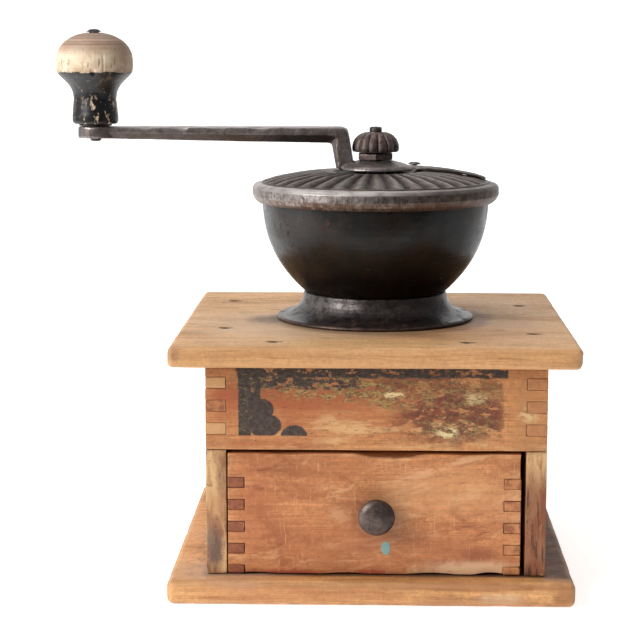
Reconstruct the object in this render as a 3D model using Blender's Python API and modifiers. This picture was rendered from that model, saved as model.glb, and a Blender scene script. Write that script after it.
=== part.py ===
"""Antique box mill for coffee: wooden box with a drawer, iron hopper, crank and conical burrs.

All sizes are in millimetres and become metres in the meshes. The origin is on the spindle's axis
at the underside of the base board; +Z is up, the drawer opens to -Y, the crank points to -X.
"""
import math

import bmesh
import bpy
from mathutils import Matrix, Vector

MM = 0.001
GAP = 0.3              # clearance between pieces that touch

# driving sizes of the wooden box
BOARD = 170.0          # side of the top and base boards
BASE_T = 10.5
BASE_SHIFT = -1.3      # the base board is nailed on a little to the left
TOP_T = 9.0
BOX_W = 142.0
BOX_D = 148.0
WALL = 8.6
BOX_X = 0.7            # the box stands a little to the right of the spindle
BOX_TOP = 100.0        # underside of the top board
RAIL_BOTTOM = 64.0     # underside of the rail above the drawer
FINGER_PITCH = 9.7     # finger joints of the box
FINGER_HALF = 2.35
FIRST_FINGER = 92.3    # height of the highest finger

# driving sizes of the drawer
DRAWER_W = 122.4
DRAWER_BOTTOM = 11.0
DRAWER_TOP = 62.5
DRAWER_LENGTH = 133.5
DRAWER_FRONT_T = 8.0
DRAWER_SIDE_T = 7.0
DRAWER_PITCH = 9.45
DRAWER_FIRST_FINGER = 50.0
DRAWER_FINGER_HALF = 2.2
PANEL_LOW = 14.0
PANEL_HIGH = 17.0
PULL_X = 1.0           # the pull knob sits a little right of the middle
PULL_Z = 37.4

# driving sizes of the ironwork
BOWL_R = 50.7
BOWL_NECK_R = 31.6
BOWL_LOW = 121.6
BOWL_HIGH = 164.2
BOWL_WALL = 2.2
FOOT_R = 44.1
FOOT_BORE = 24.0
LID_R = 54.95
FLUTES = 36
FLUTE_DEPTH = 0.9
CRANK_R = 125.0        # spindle axis to the knob's axis
ARM_TOP = 194.6
SPINDLE_R = 4.0
SPINDLE_TOP = 194.7
SPINDLE_LOW = 75.7
SQUARE = 7.0           # square seat of the crank on the spindle
THREAD_R = 2.95
HOUSING_R = 23.4
MILL_SCREW_RING = 29.5
MILL_SCREW_R = 2.0
MILL_SCREW_HOLE = 2.5
BRIDGE_SCREW_X = 21.3

# worked out from the driving sizes
HALF_BOARD = BOARD / 2
HALF_W = BOX_W / 2
HALF_D = BOX_D / 2
INNER_W = HALF_W - WALL
INNER_D = HALF_D - WALL
SIDE_LOW = BASE_T + GAP
SIDE_HIGH = BOX_TOP - GAP
TOP_FACE = BOX_TOP + TOP_T
DRAWER_HALF = DRAWER_W / 2
DRAWER_INNER = DRAWER_HALF - DRAWER_SIDE_T
DRAWER_BACK = -HALF_D + DRAWER_LENGTH
FRONT_BACK_FACE = -HALF_D + DRAWER_FRONT_T

for old in list(bpy.data.objects):
    bpy.data.objects.remove(old, do_unlink=True)

PARTS = bpy.data.collections.new("coffee_grinder_mill")
CUTTERS = bpy.data.collections.new("cutters")
bpy.context.scene.collection.children.link(PARTS)
bpy.context.scene.collection.children.link(CUTTERS)


# ---------------------------------------------------------------- materials
def material(name, colour, roughness, metallic):
    mat = bpy.data.materials.new(name)
    mat.use_nodes = True
    shader = mat.node_tree.nodes["Principled BSDF"]
    shader.inputs["Base Color"].default_value = (*colour, 1.0)
    shader.inputs["Roughness"].default_value = roughness
    shader.inputs["Metallic"].default_value = metallic
    mat.diffuse_color = (*colour, 1.0)
    return mat


def pine(name, colour):
    return material(name, colour, 0.7, 0.0)


def iron(name, colour, roughness=0.5):
    return material(name, colour, roughness, 0.9)


# ---------------------------------------------------------------- meshes and objects
def add_part(name, mesh, mat, at=(0, 0, 0)):
    mesh.materials.append(mat)
    part = bpy.data.objects.new(name, mesh)
    part.location = Vector(at) * MM
    PARTS.objects.link(part)
    return part


def add_cutter(mesh):
    cutter = bpy.data.objects.new("cutter", mesh)
    cutter.hide_render = True
    cutter.display_type = "WIRE"
    CUTTERS.objects.link(cutter)
    return cutter


def to_mesh(bm, name):
    mesh = bpy.data.meshes.new(name)
    bmesh.ops.recalc_face_normals(bm, faces=bm.faces)
    bm.to_mesh(mesh)
    bm.free()
    return mesh


def add_cube(bm, low, high):
    low = Vector(low) * MM
    high = Vector(high) * MM
    place = Matrix.Translation((low + high) / 2) @ Matrix.Diagonal((*(high - low), 1.0))
    bmesh.ops.create_cube(bm, size=1.0, matrix=place)


def add_rod(bm, at, radius, low, high, axis="Z", sides=8):
    """A round rod along an axis; at holds its two other coordinates, in X, Y, Z order."""
    turn = {"X": Matrix.Rotation(math.pi / 2, 4, "Y"), "Y": Matrix.Rotation(math.pi / 2, 4, "X"),
            "Z": Matrix.Identity(4)}[axis]
    middle = list(at)
    middle.insert("XYZ".index(axis), (low + high) / 2)
    bmesh.ops.create_cone(bm, cap_ends=True, segments=sides, radius1=radius * MM, radius2=radius * MM,
                          depth=(high - low) * MM, matrix=Matrix.Translation(Vector(middle) * MM) @ turn)


def cubes_mesh(boxes):
    bm = bmesh.new()
    for low, high in boxes:
        add_cube(bm, low, high)
    return to_mesh(bm, "cubes")


def rods_mesh(rods, axis="Z", sides=8):
    bm = bmesh.new()
    for at, radius, low, high in rods:
        add_rod(bm, at, radius, low, high, axis, sides)
    return to_mesh(bm, "rods")


def boolean(part, mesh, operation="DIFFERENCE", at=(0, 0, 0)):
    cutter = add_cutter(mesh)
    cutter.location = Vector(at) * MM
    modifier = part.modifiers.new(operation.lower(), "BOOLEAN")
    modifier.operation = operation
    modifier.solver = "EXACT"
    modifier.object = cutter
    return part


def board(name, low, high, mat, rounding=0.0):
    """A board whose origin is at its middle."""
    middle = (Vector(low) + Vector(high)) / 2
    part = add_part(name, cubes_mesh([(Vector(low) - middle, Vector(high) - middle)]), mat, middle)
    if rounding:
        bevel = part.modifiers.new("rounded edges", "BEVEL")
        bevel.width = rounding * MM
        bevel.segments = 2
    return part


def turned_mesh(profile, steps):
    """The mesh of a turned shape; a profile that leaves the axis free closes on itself as a ring."""
    mesh = bpy.data.meshes.new("profile")
    points = [(radius * MM, 0.0, height * MM) for radius, height in profile]
    edges = [(i, i + 1) for i in range(len(points) - 1)]
    if profile[0][0] > 0:
        edges.append((len(points) - 1, 0))
    mesh.from_pydata(points, edges, [])
    source = bpy.data.objects.new("profile", mesh)
    CUTTERS.objects.link(source)
    screw = source.modifiers.new("screw", "SCREW")
    screw.steps = steps
    screw.render_steps = steps
    screw.use_merge_vertices = True
    screw.merge_threshold = 0.00001
    depsgraph = bpy.context.evaluated_depsgraph_get()
    result = bpy.data.meshes.new_from_object(source.evaluated_get(depsgraph))
    bpy.data.objects.remove(source, do_unlink=True)
    return result


def smooth(part):
    part.data.shade_smooth()
    part.data.set_sharp_from_angle(angle=math.radians(35))
    return part


def turned(name, profile, mat, at=(0, 0, 0), steps=32):
    return smooth(add_part(name, turned_mesh(profile, steps), mat, at))


def columns(mesh, count, change):
    """Change every second column of a turned mesh's vertices; change gets radius and height."""
    for vertex in mesh.vertices:
        x, y, z = vertex.co / MM
        radius = math.hypot(x, y)
        if radius < 0.01:
            continue
        column = round(math.atan2(y, x) / (2 * math.pi) * count)
        if column % 2:
            new_radius, z = change(radius, z)
            x *= new_radius / radius
            y *= new_radius / radius
        vertex.co = Vector((x, y, z)) * MM
    return mesh


def ring_points(radius, start, end, count):
    """Points of an arc about the spindle's axis, angles in degrees."""
    angles = [math.radians(start + (end - start) * i / count) for i in range(count + 1)]
    return [(radius * math.cos(a), radius * math.sin(a)) for a in angles]


def prism_mesh(outline, low, high):
    bm = bmesh.new()
    base = bm.faces.new([bm.verts.new((x * MM, y * MM, low * MM)) for x, y in outline])
    sweep = bmesh.ops.extrude_face_region(bm, geom=[base])
    moved = [item for item in sweep["geom"] if isinstance(item, bmesh.types.BMVert)]
    bmesh.ops.translate(bm, verts=moved, vec=(0, 0, (high - low) * MM))
    return to_mesh(bm, "prism")


def hexagon(radius):
    """Six corners, one of them to the front."""
    return [(radius * math.cos(math.radians(60 * i + 30)), radius * math.sin(math.radians(60 * i + 30)))
            for i in range(6)]


def joint_empty(name, at):
    empty = bpy.data.objects.new(name, None)
    empty.location = Vector(at) * MM
    PARTS.objects.link(empty)
    return empty


def hang_on(empty, parts):
    for part in parts:
        part.location = part.location - empty.location
        part.parent = empty


# ---------------------------------------------------------------- finger joints
def finger_heights(first, pitch, low):
    heights = []
    height = first
    while height > low:
        heights.append(height)
        height -= pitch
    return sorted(heights)


def spaces_between(heights, half, low, high):
    """The stretches of an edge that the fingers at these heights leave free."""
    ends = [low]
    for height in heights:
        ends += [height - half, height + half]
    ends.append(high)
    return [(a, b) for a, b in zip(ends[0::2], ends[1::2]) if b > a]


def cut_sockets(part, heights, half, inner, y_low, y_high, middle=0.0):
    """Sockets at both ends of a cross board for the fingers of the side boards."""
    boxes = []
    for side in (-1, 1):
        x_low, x_high = sorted((middle + side * (inner - GAP), middle + side * (inner + WALL + 2)))
        for height in heights:
            boxes.append(((x_low, y_low, height - half - GAP), (x_high, y_high, height + half + GAP)))
    return boolean(part, cubes_mesh(boxes))


def cut_fingers(part, side, inner, spaces, y_low, y_high):
    """Leave fingers on a side board's end by cutting the spaces between them."""
    x_low, x_high = sorted((side * (inner - 2), side * (inner + WALL + 2)))
    return boolean(part, cubes_mesh([((x_low, y_low, low), (x_high, y_high, high)) for low, high in spaces]))


RAIL_FINGERS = finger_heights(FIRST_FINGER, FINGER_PITCH, RAIL_BOTTOM + 4)
BACK_FINGERS = finger_heights(FIRST_FINGER, FINGER_PITCH, SIDE_LOW)
DRAWER_FINGERS = finger_heights(DRAWER_FIRST_FINGER, DRAWER_PITCH, DRAWER_BOTTOM)

# ---------------------------------------------------------------- nails
NAIL_SHANK = 0.9
NAIL_HEAD = 1.8
NAIL_HEAD_T = 0.6
NAIL_HOLE = NAIL_SHANK + GAP
NAIL_SINK = NAIL_HEAD + 2 * GAP


def nail_profile(length):
    """Flat head, straight shank and a point; the head's face is at height 0."""
    return [(0, 0), (NAIL_HEAD, 0), (NAIL_HEAD, -NAIL_HEAD_T), (NAIL_SHANK, -NAIL_HEAD_T),
            (NAIL_SHANK, 1.5 - length), (0, -length)]


def nail(name, mat, at, length, turn):
    part = turned(name, nail_profile(length), mat, at, steps=8)
    part.rotation_euler = turn
    return part


# ---------------------------------------------------------------- wooden box
RAIL_NAIL_Y = -HALF_D + WALL / 2
TOP_NAILS = [(-65.0, -33.0), (-67.0, 51.0), (67.5, -46.0), (67.5, 38.0),
             (-42.0, RAIL_NAIL_Y), (38.0, RAIL_NAIL_Y)]
BASE_NAILS = [(BOX_X + side * (HALF_W - WALL / 2), y) for side in (-1, 1) for y in (-50.0, 50.0)]
TOP_NAIL_LENGTH = 25.0
BASE_NAIL_LENGTH = 26.0
SUNK = 0.05            # nail heads lie this much below the wood's face
SINK_DEPTH = SUNK + NAIL_HEAD_T + GAP


def mill_screw_places():
    return ring_points(MILL_SCREW_RING, 90, 330, 2)


def make_base_board(mat):
    base = board("base_board", (BASE_SHIFT - HALF_BOARD, -HALF_BOARD, 0),
                 (BASE_SHIFT + HALF_BOARD, HALF_BOARD, BASE_T), mat, rounding=2.8)
    boolean(base, rods_mesh([(at, NAIL_HOLE, -1, BASE_T + 1) for at in BASE_NAILS]))
    boolean(base, rods_mesh([(at, NAIL_SINK, -1, SINK_DEPTH) for at in BASE_NAILS]))
    return base


def make_top_board(mat):
    top = board("top_board", (-HALF_BOARD, -HALF_BOARD, BOX_TOP), (HALF_BOARD, HALF_BOARD, TOP_FACE), mat,
                rounding=2.4)
    holes = [(at, NAIL_HOLE, BOX_TOP - 1, TOP_FACE + 1) for at in TOP_NAILS]
    holes += [(at, MILL_SCREW_HOLE, BOX_TOP - 1, TOP_FACE + 1) for at in mill_screw_places()]
    boolean(top, rods_mesh(holes))
    boolean(top, rods_mesh([(at, NAIL_SINK, TOP_FACE - SINK_DEPTH, TOP_FACE + 1) for at in TOP_NAILS]))
    boolean(top, rods_mesh([((0, 0), FOOT_BORE, BOX_TOP - 1, TOP_FACE + 1)], sides=48))
    return top


def make_side(name, side, mat):
    x_low, x_high = sorted((BOX_X + side * INNER_W, BOX_X + side * HALF_W))
    part = board(name, (x_low, -HALF_D, SIDE_LOW), (x_high, HALF_D, SIDE_HIGH), mat)
    front = spaces_between(RAIL_FINGERS, FINGER_HALF, RAIL_BOTTOM - GAP, BOX_TOP + 2)
    back = spaces_between(BACK_FINGERS, FINGER_HALF, 0, BOX_TOP + 2)
    cut_fingers(part, side, INNER_W, front, -HALF_D - 2, -INNER_D + GAP)
    cut_fingers(part, side, INNER_W, back, INNER_D - GAP, HALF_D + 2)
    holes = [(at, NAIL_HOLE, TOP_FACE - TOP_NAIL_LENGTH - 1, BOX_TOP + 1) for at in TOP_NAILS
             if x_low < at[0] < x_high]
    holes += [(at, NAIL_HOLE, 0, BASE_NAIL_LENGTH + 1) for at in BASE_NAILS if x_low < at[0] < x_high]
    boolean(part, rods_mesh(holes))
    return part


def make_front_rail(mat):
    low = (BOX_X - HALF_W, -HALF_D, RAIL_BOTTOM)
    rail = board("front_rail", low, (BOX_X + HALF_W, -INNER_D, SIDE_HIGH), mat)
    cut_sockets(rail, RAIL_FINGERS, FINGER_HALF, INNER_W, -HALF_D - 2, -INNER_D + 2, BOX_X)
    holes = [(at, NAIL_HOLE, TOP_FACE - TOP_NAIL_LENGTH - 1, BOX_TOP + 1) for at in TOP_NAILS
             if at[1] == RAIL_NAIL_Y]
    boolean(rail, rods_mesh(holes))
    return rail


def make_back_board(mat):
    back = board("back_board", (BOX_X - HALF_W, INNER_D, SIDE_LOW), (BOX_X + HALF_W, HALF_D, SIDE_HIGH), mat)
    return cut_sockets(back, BACK_FINGERS, FINGER_HALF, INNER_W, INNER_D - 2, HALF_D + 2, BOX_X)


def make_box_nails(mat):
    for number, (x, y) in enumerate(TOP_NAILS, 1):
        nail(f"top_nail_{number}", mat, (x, y, TOP_FACE - SUNK), TOP_NAIL_LENGTH, (0, 0, 0))
    for number, (x, y) in enumerate(BASE_NAILS, 1):
        nail(f"base_nail_{number}", mat, (x, y, SUNK), BASE_NAIL_LENGTH, (math.pi, 0, 0))


# ---------------------------------------------------------------- drawer
BACK_NAIL_HEIGHTS = (28.0, 48.0)
DRAWER_BACK_T = 7.0
DRAWER_NAIL_LENGTH = 20.0
PULL_SCREW_R = 1.8


def make_drawer_front(mat):
    front = board("drawer_front", (-DRAWER_HALF, -HALF_D, DRAWER_BOTTOM),
                  (DRAWER_HALF, FRONT_BACK_FACE, DRAWER_TOP), mat)
    cut_sockets(front, DRAWER_FINGERS, DRAWER_FINGER_HALF, DRAWER_INNER, -HALF_D - 2, FRONT_BACK_FACE + 2)
    pull_hole = [((PULL_X, PULL_Z), PULL_SCREW_R + GAP, -HALF_D - 2, FRONT_BACK_FACE + 2)]
    return boolean(front, rods_mesh(pull_hole, axis="Y", sides=12))


def make_drawer_side(name, side, mat):
    x_low, x_high = sorted((side * DRAWER_INNER, side * DRAWER_HALF))
    part = board(name, (x_low, -HALF_D, DRAWER_BOTTOM), (x_high, DRAWER_BACK, DRAWER_TOP - 1), mat)
    spaces = spaces_between(DRAWER_FINGERS, DRAWER_FINGER_HALF, 0, DRAWER_TOP + 2)
    cut_fingers(part, side, DRAWER_INNER, spaces, -HALF_D - 2, FRONT_BACK_FACE + GAP)
    groove_x = sorted((side * (DRAWER_INNER - 2), side * (DRAWER_INNER + 2.8)))
    boolean(part, cubes_mesh([((groove_x[0], FRONT_BACK_FACE + 0.1, PANEL_LOW - GAP),
                               (groove_x[1], DRAWER_BACK + 2, PANEL_HIGH + GAP))]))
    y = DRAWER_BACK - DRAWER_BACK_T / 2
    x_ends = sorted((side * (DRAWER_INNER - 2), side * (DRAWER_HALF + 2)))
    boolean(part, rods_mesh([((y, z), NAIL_HOLE, *x_ends) for z in BACK_NAIL_HEIGHTS], axis="X"))
    x_sink = sorted((side * (DRAWER_HALF - SINK_DEPTH), side * (DRAWER_HALF + 2)))
    return boolean(part, rods_mesh([((y, z), NAIL_SINK, *x_sink) for z in BACK_NAIL_HEIGHTS], axis="X"))


def make_drawer_back(mat):
    edge = DRAWER_INNER - GAP
    back = board("drawer_back", (-edge, DRAWER_BACK - DRAWER_BACK_T, PANEL_HIGH + GAP),
                 (edge, DRAWER_BACK, DRAWER_TOP - 3), mat)
    depth = DRAWER_HALF - DRAWER_NAIL_LENGTH - 1
    y = DRAWER_BACK - DRAWER_BACK_T / 2
    holes = [((y, z), NAIL_HOLE, *sorted((side * depth, side * (edge + 2))))
             for side in (-1, 1) for z in BACK_NAIL_HEIGHTS]
    return boolean(back, rods_mesh(holes, axis="X"))


def make_drawer_panel(mat):
    edge = DRAWER_INNER + 2.4
    return board("drawer_bottom", (-edge, FRONT_BACK_FACE + 0.6, PANEL_LOW),
                 (edge, DRAWER_BACK - 0.2, PANEL_HIGH), mat)


def make_drawer_nails(mat):
    nails = []
    y = DRAWER_BACK - DRAWER_BACK_T / 2
    places = [(side, z) for side in (-1, 1) for z in BACK_NAIL_HEIGHTS]
    for number, (side, z) in enumerate(places, 1):
        at = (side * (DRAWER_HALF - SUNK), y, z)
        nails.append(nail(f"drawer_nail_{number}", mat, at, DRAWER_NAIL_LENGTH, (0, side * math.pi / 2, 0)))
    return nails


def make_pull(mat):
    """Domed iron knob, bored at the back for its screw; heights run away from the drawer's face."""
    profile = [(0, 11.2), (3.0, 11.0), (5.6, 10.2), (7.3, 9.0), (7.85, 7.7), (7.3, 6.5), (5.2, 5.0),
               (4.3, 3.0), (5.6, 1.0), (5.6, GAP), (PULL_SCREW_R + GAP, GAP), (PULL_SCREW_R + GAP, 8.3),
               (0, 8.3)]
    pull = turned("drawer_knob", profile, mat, (PULL_X, -HALF_D, PULL_Z), steps=20)
    pull.rotation_euler = (math.pi / 2, 0, 0)
    return pull


def make_pull_screw(mat):
    inside = -DRAWER_FRONT_T - GAP
    profile = [(0, 8.0), (PULL_SCREW_R, 7.0), (PULL_SCREW_R, inside), (4.0, inside), (3.6, inside - 1.4),
               (0, inside - 1.8)]
    screw = turned("drawer_knob_screw", profile, mat, (PULL_X, -HALF_D, PULL_Z), steps=16)
    screw.rotation_euler = (math.pi / 2, 0, 0)
    slot = [((-5, -HALF_D - inside + 0.9, PULL_Z - 0.4), (7, -HALF_D - inside + 4, PULL_Z + 0.4))]
    return boolean(screw, cubes_mesh(slot))


# ---------------------------------------------------------------- hopper
RIVET_RING = 27.5
FOOT_TOP = BOWL_LOW - GAP
FOOT_LOW = TOP_FACE + GAP


def bowl_radius(height):
    """Outer radius of the bowl: nearly straight under the rim, then rounding in to the neck."""
    depth = (BOWL_HIGH - height) / (BOWL_HIGH - BOWL_LOW)
    return BOWL_NECK_R + (BOWL_R - BOWL_NECK_R) * (1 - 0.12 * depth - 0.88 * depth ** 2.7)


def make_bowl(mat):
    rows = 6
    heights = [BOWL_HIGH - (BOWL_HIGH - BOWL_LOW) * (i / rows) ** 0.8 for i in range(rows + 1)]
    floor = BOWL_LOW + 2.6
    outside = [(bowl_radius(z), z) for z in heights]
    inside = [(bowl_radius(z) - BOWL_WALL, z) for z in heights if z > floor + 4]
    profile = outside + [(FOOT_BORE, BOWL_LOW), (FOOT_BORE, floor), (RIVET_RING + 3, floor)] + inside[::-1]
    bowl = turned("hopper_bowl", profile, mat, steps=40)
    return boolean(bowl, rods_mesh([(at, 1.2 + GAP, BOWL_LOW - 2, floor + 2) for at in rivet_places()]))


def rivet_places():
    return ring_points(RIVET_RING, 30, 270, 2)


def make_foot(mat):
    """Collar that flares out in a hollow curve to a round rim on the board."""
    height = FOOT_TOP - FOOT_LOW - 2.2
    spread = FOOT_R - BOWL_NECK_R - 1.4
    curve = []
    for step in range(5):
        angle = math.pi / 2 * step / 4
        curve.append((BOWL_NECK_R + 0.5 + spread * (1 - math.cos(angle)),
                      FOOT_TOP - 0.6 - height * math.sin(angle)))
    profile = [(BOWL_NECK_R + 0.1, FOOT_TOP)] + curve
    profile += [(FOOT_R, FOOT_LOW + 0.9), (FOOT_R, FOOT_LOW), (FOOT_BORE, FOOT_LOW), (FOOT_BORE, FOOT_TOP)]
    foot = turned("hopper_foot", profile, mat, steps=40)
    boolean(foot, rods_mesh([(at, MILL_SCREW_HOLE, FOOT_LOW - 2, 118.0) for at in mill_screw_places()]))
    return boolean(foot, rods_mesh([(at, 1.2 + GAP, 113.0, FOOT_TOP + 2) for at in rivet_places()]))


def make_rivets(mat):
    floor = BOWL_LOW + 2.6 + GAP
    profile = [(0, floor + 1.3), (1.6, floor + 1.0), (2.5, floor), (1.2, floor), (1.2, 113.6), (0, 113.6)]
    for number, (x, y) in enumerate(rivet_places(), 1):
        turned(f"bowl_rivet_{number}", profile, mat, (x, y, 0), steps=12)


# ---------------------------------------------------------------- lid
LID_HOLE = 8.6
LID_DOME = [(19.8, 174.9), (23.0, 175.1), (34.0, 174.3), (45.0, 172.3), (50.4, 170.6)]
COLLAR_LOW = 173.1
OPENING_R = (21.0, 45.0)
OPENING_ANGLES = (6.0, 64.0)
SHUTTER_ANGLES = (-6.0, 76.0)
SHUTTER_R = 49.0
SHUTTER_LIFT = 1.3     # its upper face over the lid's ribs
FINGER_STUD_R = 36.0
FINGER_STUD_ANGLE = 60.0


def dome_height(radius):
    for (r0, z0), (r1, z1) in zip(LID_DOME, LID_DOME[1:]):
        if r0 <= radius <= r1:
            return z0 + (z1 - z0) * (radius - r0) / (r1 - r0)
    return LID_DOME[0][1]


def flute(radius, height):
    if 22 < radius < 51 and height > 170:
        height -= FLUTE_DEPTH
    return radius, height


def make_lid(mat):
    top = [(LID_HOLE, 172.7), (17.4, 172.7)] + LID_DOME
    rim = [(53.9, 169.4), (LID_R, 168.0), (LID_R, 164.9), (53.8, 162.8), (52.2, 161.4), (51.4, 161.2)]
    under = [(51.1, 164.5), (47.6, 167.0), (34.0, 171.4), (22.0, 172.1), (19.0, 170.2), (LID_HOLE, 170.2)]
    mesh = columns(turned_mesh(top + rim + under, 2 * FLUTES), 2 * FLUTES, flute)
    lid = smooth(add_part("lid_cover", mesh, mat))
    outline = ring_points(OPENING_R[1], *OPENING_ANGLES, 8)
    outline += ring_points(OPENING_R[0], *OPENING_ANGLES[::-1], 8)
    return boolean(lid, prism_mesh(outline, 160, 180))


def make_shutter(mat):
    lift_low = 0.4
    lift_high = SHUTTER_LIFT
    radii = (23.0, 34.0, 45.0, SHUTTER_R)
    top = [(LID_HOLE + 0.2, 174.1), (16.8, 174.1), (18.4, 176.1)]
    top += [(r, dome_height(r) + lift_high) for r in radii]
    under = [(r, dome_height(r) + lift_low) for r in radii[::-1]]
    under += [(18.9, 175.35), (17.3, COLLAR_LOW), (LID_HOLE + 0.2, COLLAR_LOW)]
    shutter = smooth(add_part("lid_shutter", turned_mesh(top + under, 2 * FLUTES), mat))
    first, last = SHUTTER_ANGLES
    outline = ring_points(SHUTTER_R + 5, first, last, 8) + ring_points(16.4, last, first + 360, 20)
    boolean(shutter, prism_mesh(outline, 160, 190), "INTERSECT")
    stud = ring_points(FINGER_STUD_R, FINGER_STUD_ANGLE, FINGER_STUD_ANGLE, 1)[0]
    return boolean(shutter, rods_mesh([(stud, 1.2 + GAP, 170, 180)]))


def make_shutter_knob(mat):
    top = dome_height(FINGER_STUD_R) + SHUTTER_LIFT + 0.6
    profile = [(0, top + 1.3), (1.8, top + 1.1), (2.8, top + 0.6), (3.0, top), (1.2, top), (1.2, top - 1.3),
               (0, top - 1.3)]
    x, y = ring_points(FINGER_STUD_R, FINGER_STUD_ANGLE, FINGER_STUD_ANGLE, 1)[0]
    return turned("shutter_knob", profile, mat, (x, y, 0), steps=16)


# ---------------------------------------------------------------- mill under the top board
FLANGE_R = 35.0
FLANGE_LOW = 96.6
BURR_LOW = 75.9
BURR_HIGH = 97.0
TEETH = 18
BRIDGE_LOW = 70.7
BRIDGE_HIGH = 73.7
ADJUSTER_R = 3.5
CONE_PIN_Z = 82.0
SEAT_HIGH = 179.6      # top of the spindle's square seat


def make_housing(mat):
    profile = [(HOUSING_R, 116), (HOUSING_R, SIDE_HIGH), (FLANGE_R, SIDE_HIGH), (FLANGE_R, FLANGE_LOW),
               (HOUSING_R, FLANGE_LOW), (HOUSING_R, 74), (17.8, 74), (17.8, 75.6), (19.3, 75.6), (19.3, 116)]
    housing = turned("burr_housing", profile, mat, steps=32)
    holes = [(at, MILL_SCREW_HOLE, FLANGE_LOW - 2, SIDE_HIGH + 2) for at in mill_screw_places()]
    boolean(housing, rods_mesh(holes))
    screws = [((side * BRIDGE_SCREW_X, 0), 1.1 + GAP, 72, 81) for side in (-1, 1)]
    return boolean(housing, rods_mesh(screws))


def make_outer_burr(mat):
    profile = [(18.9, BURR_HIGH), (18.9, BURR_LOW), (17.2, BURR_LOW), (17.0, 79), (15.8, 84), (13.8, 90),
               (11.6, BURR_HIGH)]
    mesh = columns(turned_mesh(profile, 2 * TEETH), 2 * TEETH, lambda r, z: (r + 0.9 if r < 18 else r, z))
    return smooth(add_part("outer_burr", mesh, mat))


def make_cone(mat):
    profile = [(SPINDLE_R + GAP, 98), (6.8, 98), (10.4, 96), (12.7, 90), (14.8, 84), (16.1, 79), (16.3, 77),
               (SPINDLE_R + GAP, 77)]
    mesh = columns(turned_mesh(profile, 2 * TEETH), 2 * TEETH, lambda r, z: (r - 0.9 if r > 9 else r, z))
    cone = smooth(add_part("grinding_cone", mesh, mat))
    return boolean(cone, rods_mesh([((0, CONE_PIN_Z), 1.3, -20, 20)], axis="X"))


def make_cone_pin(mat):
    rod = rods_mesh([((0, 0), 1.0, -13, 13)], axis="X")
    return smooth(add_part("cone_pin", rod, mat, (0, 0, CONE_PIN_Z)))


def make_spindle(mat):
    profile = [(0, SPINDLE_TOP), (2.5, SPINDLE_TOP), (THREAD_R, SPINDLE_TOP - 0.5),
               (THREAD_R, SEAT_HIGH - 0.5),
               (3.3, SEAT_HIGH - 1.5), (3.3, HUB_LOW - 0.3), (SPINDLE_R, HUB_LOW - 0.4),
               (SPINDLE_R, SPINDLE_LOW + 2),
               (2.6, SPINDLE_LOW + 1), (2.6, SPINDLE_LOW), (0, SPINDLE_LOW)]
    spindle = turned("spindle", profile, mat, steps=16)
    half = SQUARE / 2
    boolean(spindle, cubes_mesh([((-half, -half, HUB_LOW - 0.2), (half, half, SEAT_HIGH))]), "UNION")
    return boolean(spindle, rods_mesh([((0, CONE_PIN_Z), 1.3, -20, 20)], axis="X"))


def make_guide(mat):
    """Three-armed bearing on top of the housing: beans fall between its arms."""
    collar = [(7.5, 122), (7.5, 113.5), (SPINDLE_R + GAP, 113.5), (SPINDLE_R + GAP, 122)]
    ring = [(23.2, 120.6), (23.2, 116.3), (19.6, 116.3), (19.6, 120.6)]
    guide = smooth(add_part("spindle_guide", turned_mesh(collar, 16), mat))
    bm = bmesh.new()
    for number in range(3):
        before = set(bm.verts)
        add_cube(bm, (6.0, -2.2, 116.8), (21.5, 2.2, 120.2))
        spin = Matrix.Rotation(math.radians(120 * number + 30), 3, "Z")
        bmesh.ops.rotate(bm, verts=[v for v in bm.verts if v not in before], cent=(0, 0, 0), matrix=spin)
    boolean(guide, to_mesh(bm, "arms"), "UNION")
    return boolean(guide, turned_mesh(ring, 32), "UNION")


def make_mill_screws(mat):
    head = FLANGE_LOW - GAP
    profile = [(0, 117.4), (MILL_SCREW_R, 116.4), (MILL_SCREW_R, head), (3.6, head), (3.2, head - 1.6),
               (0, head - 2.0)]
    for number, (x, y) in enumerate(mill_screw_places(), 1):
        turned(f"mill_screw_{number}", profile, mat, (x, y, 0), steps=16)


def make_lower_bridge(mat):
    bar = cubes_mesh([((-23.4, -5.5, BRIDGE_LOW), (23.4, 5.5, BRIDGE_HIGH))])
    bridge = add_part("lower_bridge", bar, mat)
    boolean(bridge, rods_mesh([((0, 0), 7.0, BRIDGE_LOW + 0.01, 75.0)], sides=16), "UNION")
    holes = [((side * BRIDGE_SCREW_X, 0), 1.1 + GAP, BRIDGE_LOW - 2, BRIDGE_HIGH + 2) for side in (-1, 1)]
    boolean(bridge, rods_mesh(holes))
    return boolean(bridge, rods_mesh([((0, 0), ADJUSTER_R + GAP, BRIDGE_LOW - 2, 77)], sides=16))


def make_bridge_screws(mat):
    head = BRIDGE_LOW - GAP
    profile = [(0, 80.4), (1.1, 79.6), (1.1, head), (2.2, head), (1.9, head - 1.2), (0, head - 1.5)]
    for number, side in enumerate((-1, 1), 1):
        turned(f"bridge_screw_{number}", profile, mat, (side * BRIDGE_SCREW_X, 0, 0), steps=12)


def make_adjuster(mat):
    """Screw with a notched thumb wheel under the mill."""
    profile = [(0, 72.3), (ADJUSTER_R - 0.4, 72.3), (ADJUSTER_R, 71.9), (ADJUSTER_R, 66.6), (8.0, 66.6),
               (8.4, 66.2),
               (8.4, 64.7), (8.0, 64.3), (0, 64.3)]
    mesh = columns(turned_mesh(profile, 24), 24, lambda r, z: (r - 0.6 if r > 6 else r, z))
    return smooth(add_part("adjusting_screw", mesh, mat))


def make_adjuster_nut(mat):
    nut = add_part("adjuster_nut", prism_mesh(hexagon(6.6), 68.0, BRIDGE_LOW - GAP), mat)
    return boolean(nut, rods_mesh([((0, 0), ADJUSTER_R + GAP, 66, 72)], sides=16))


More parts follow.
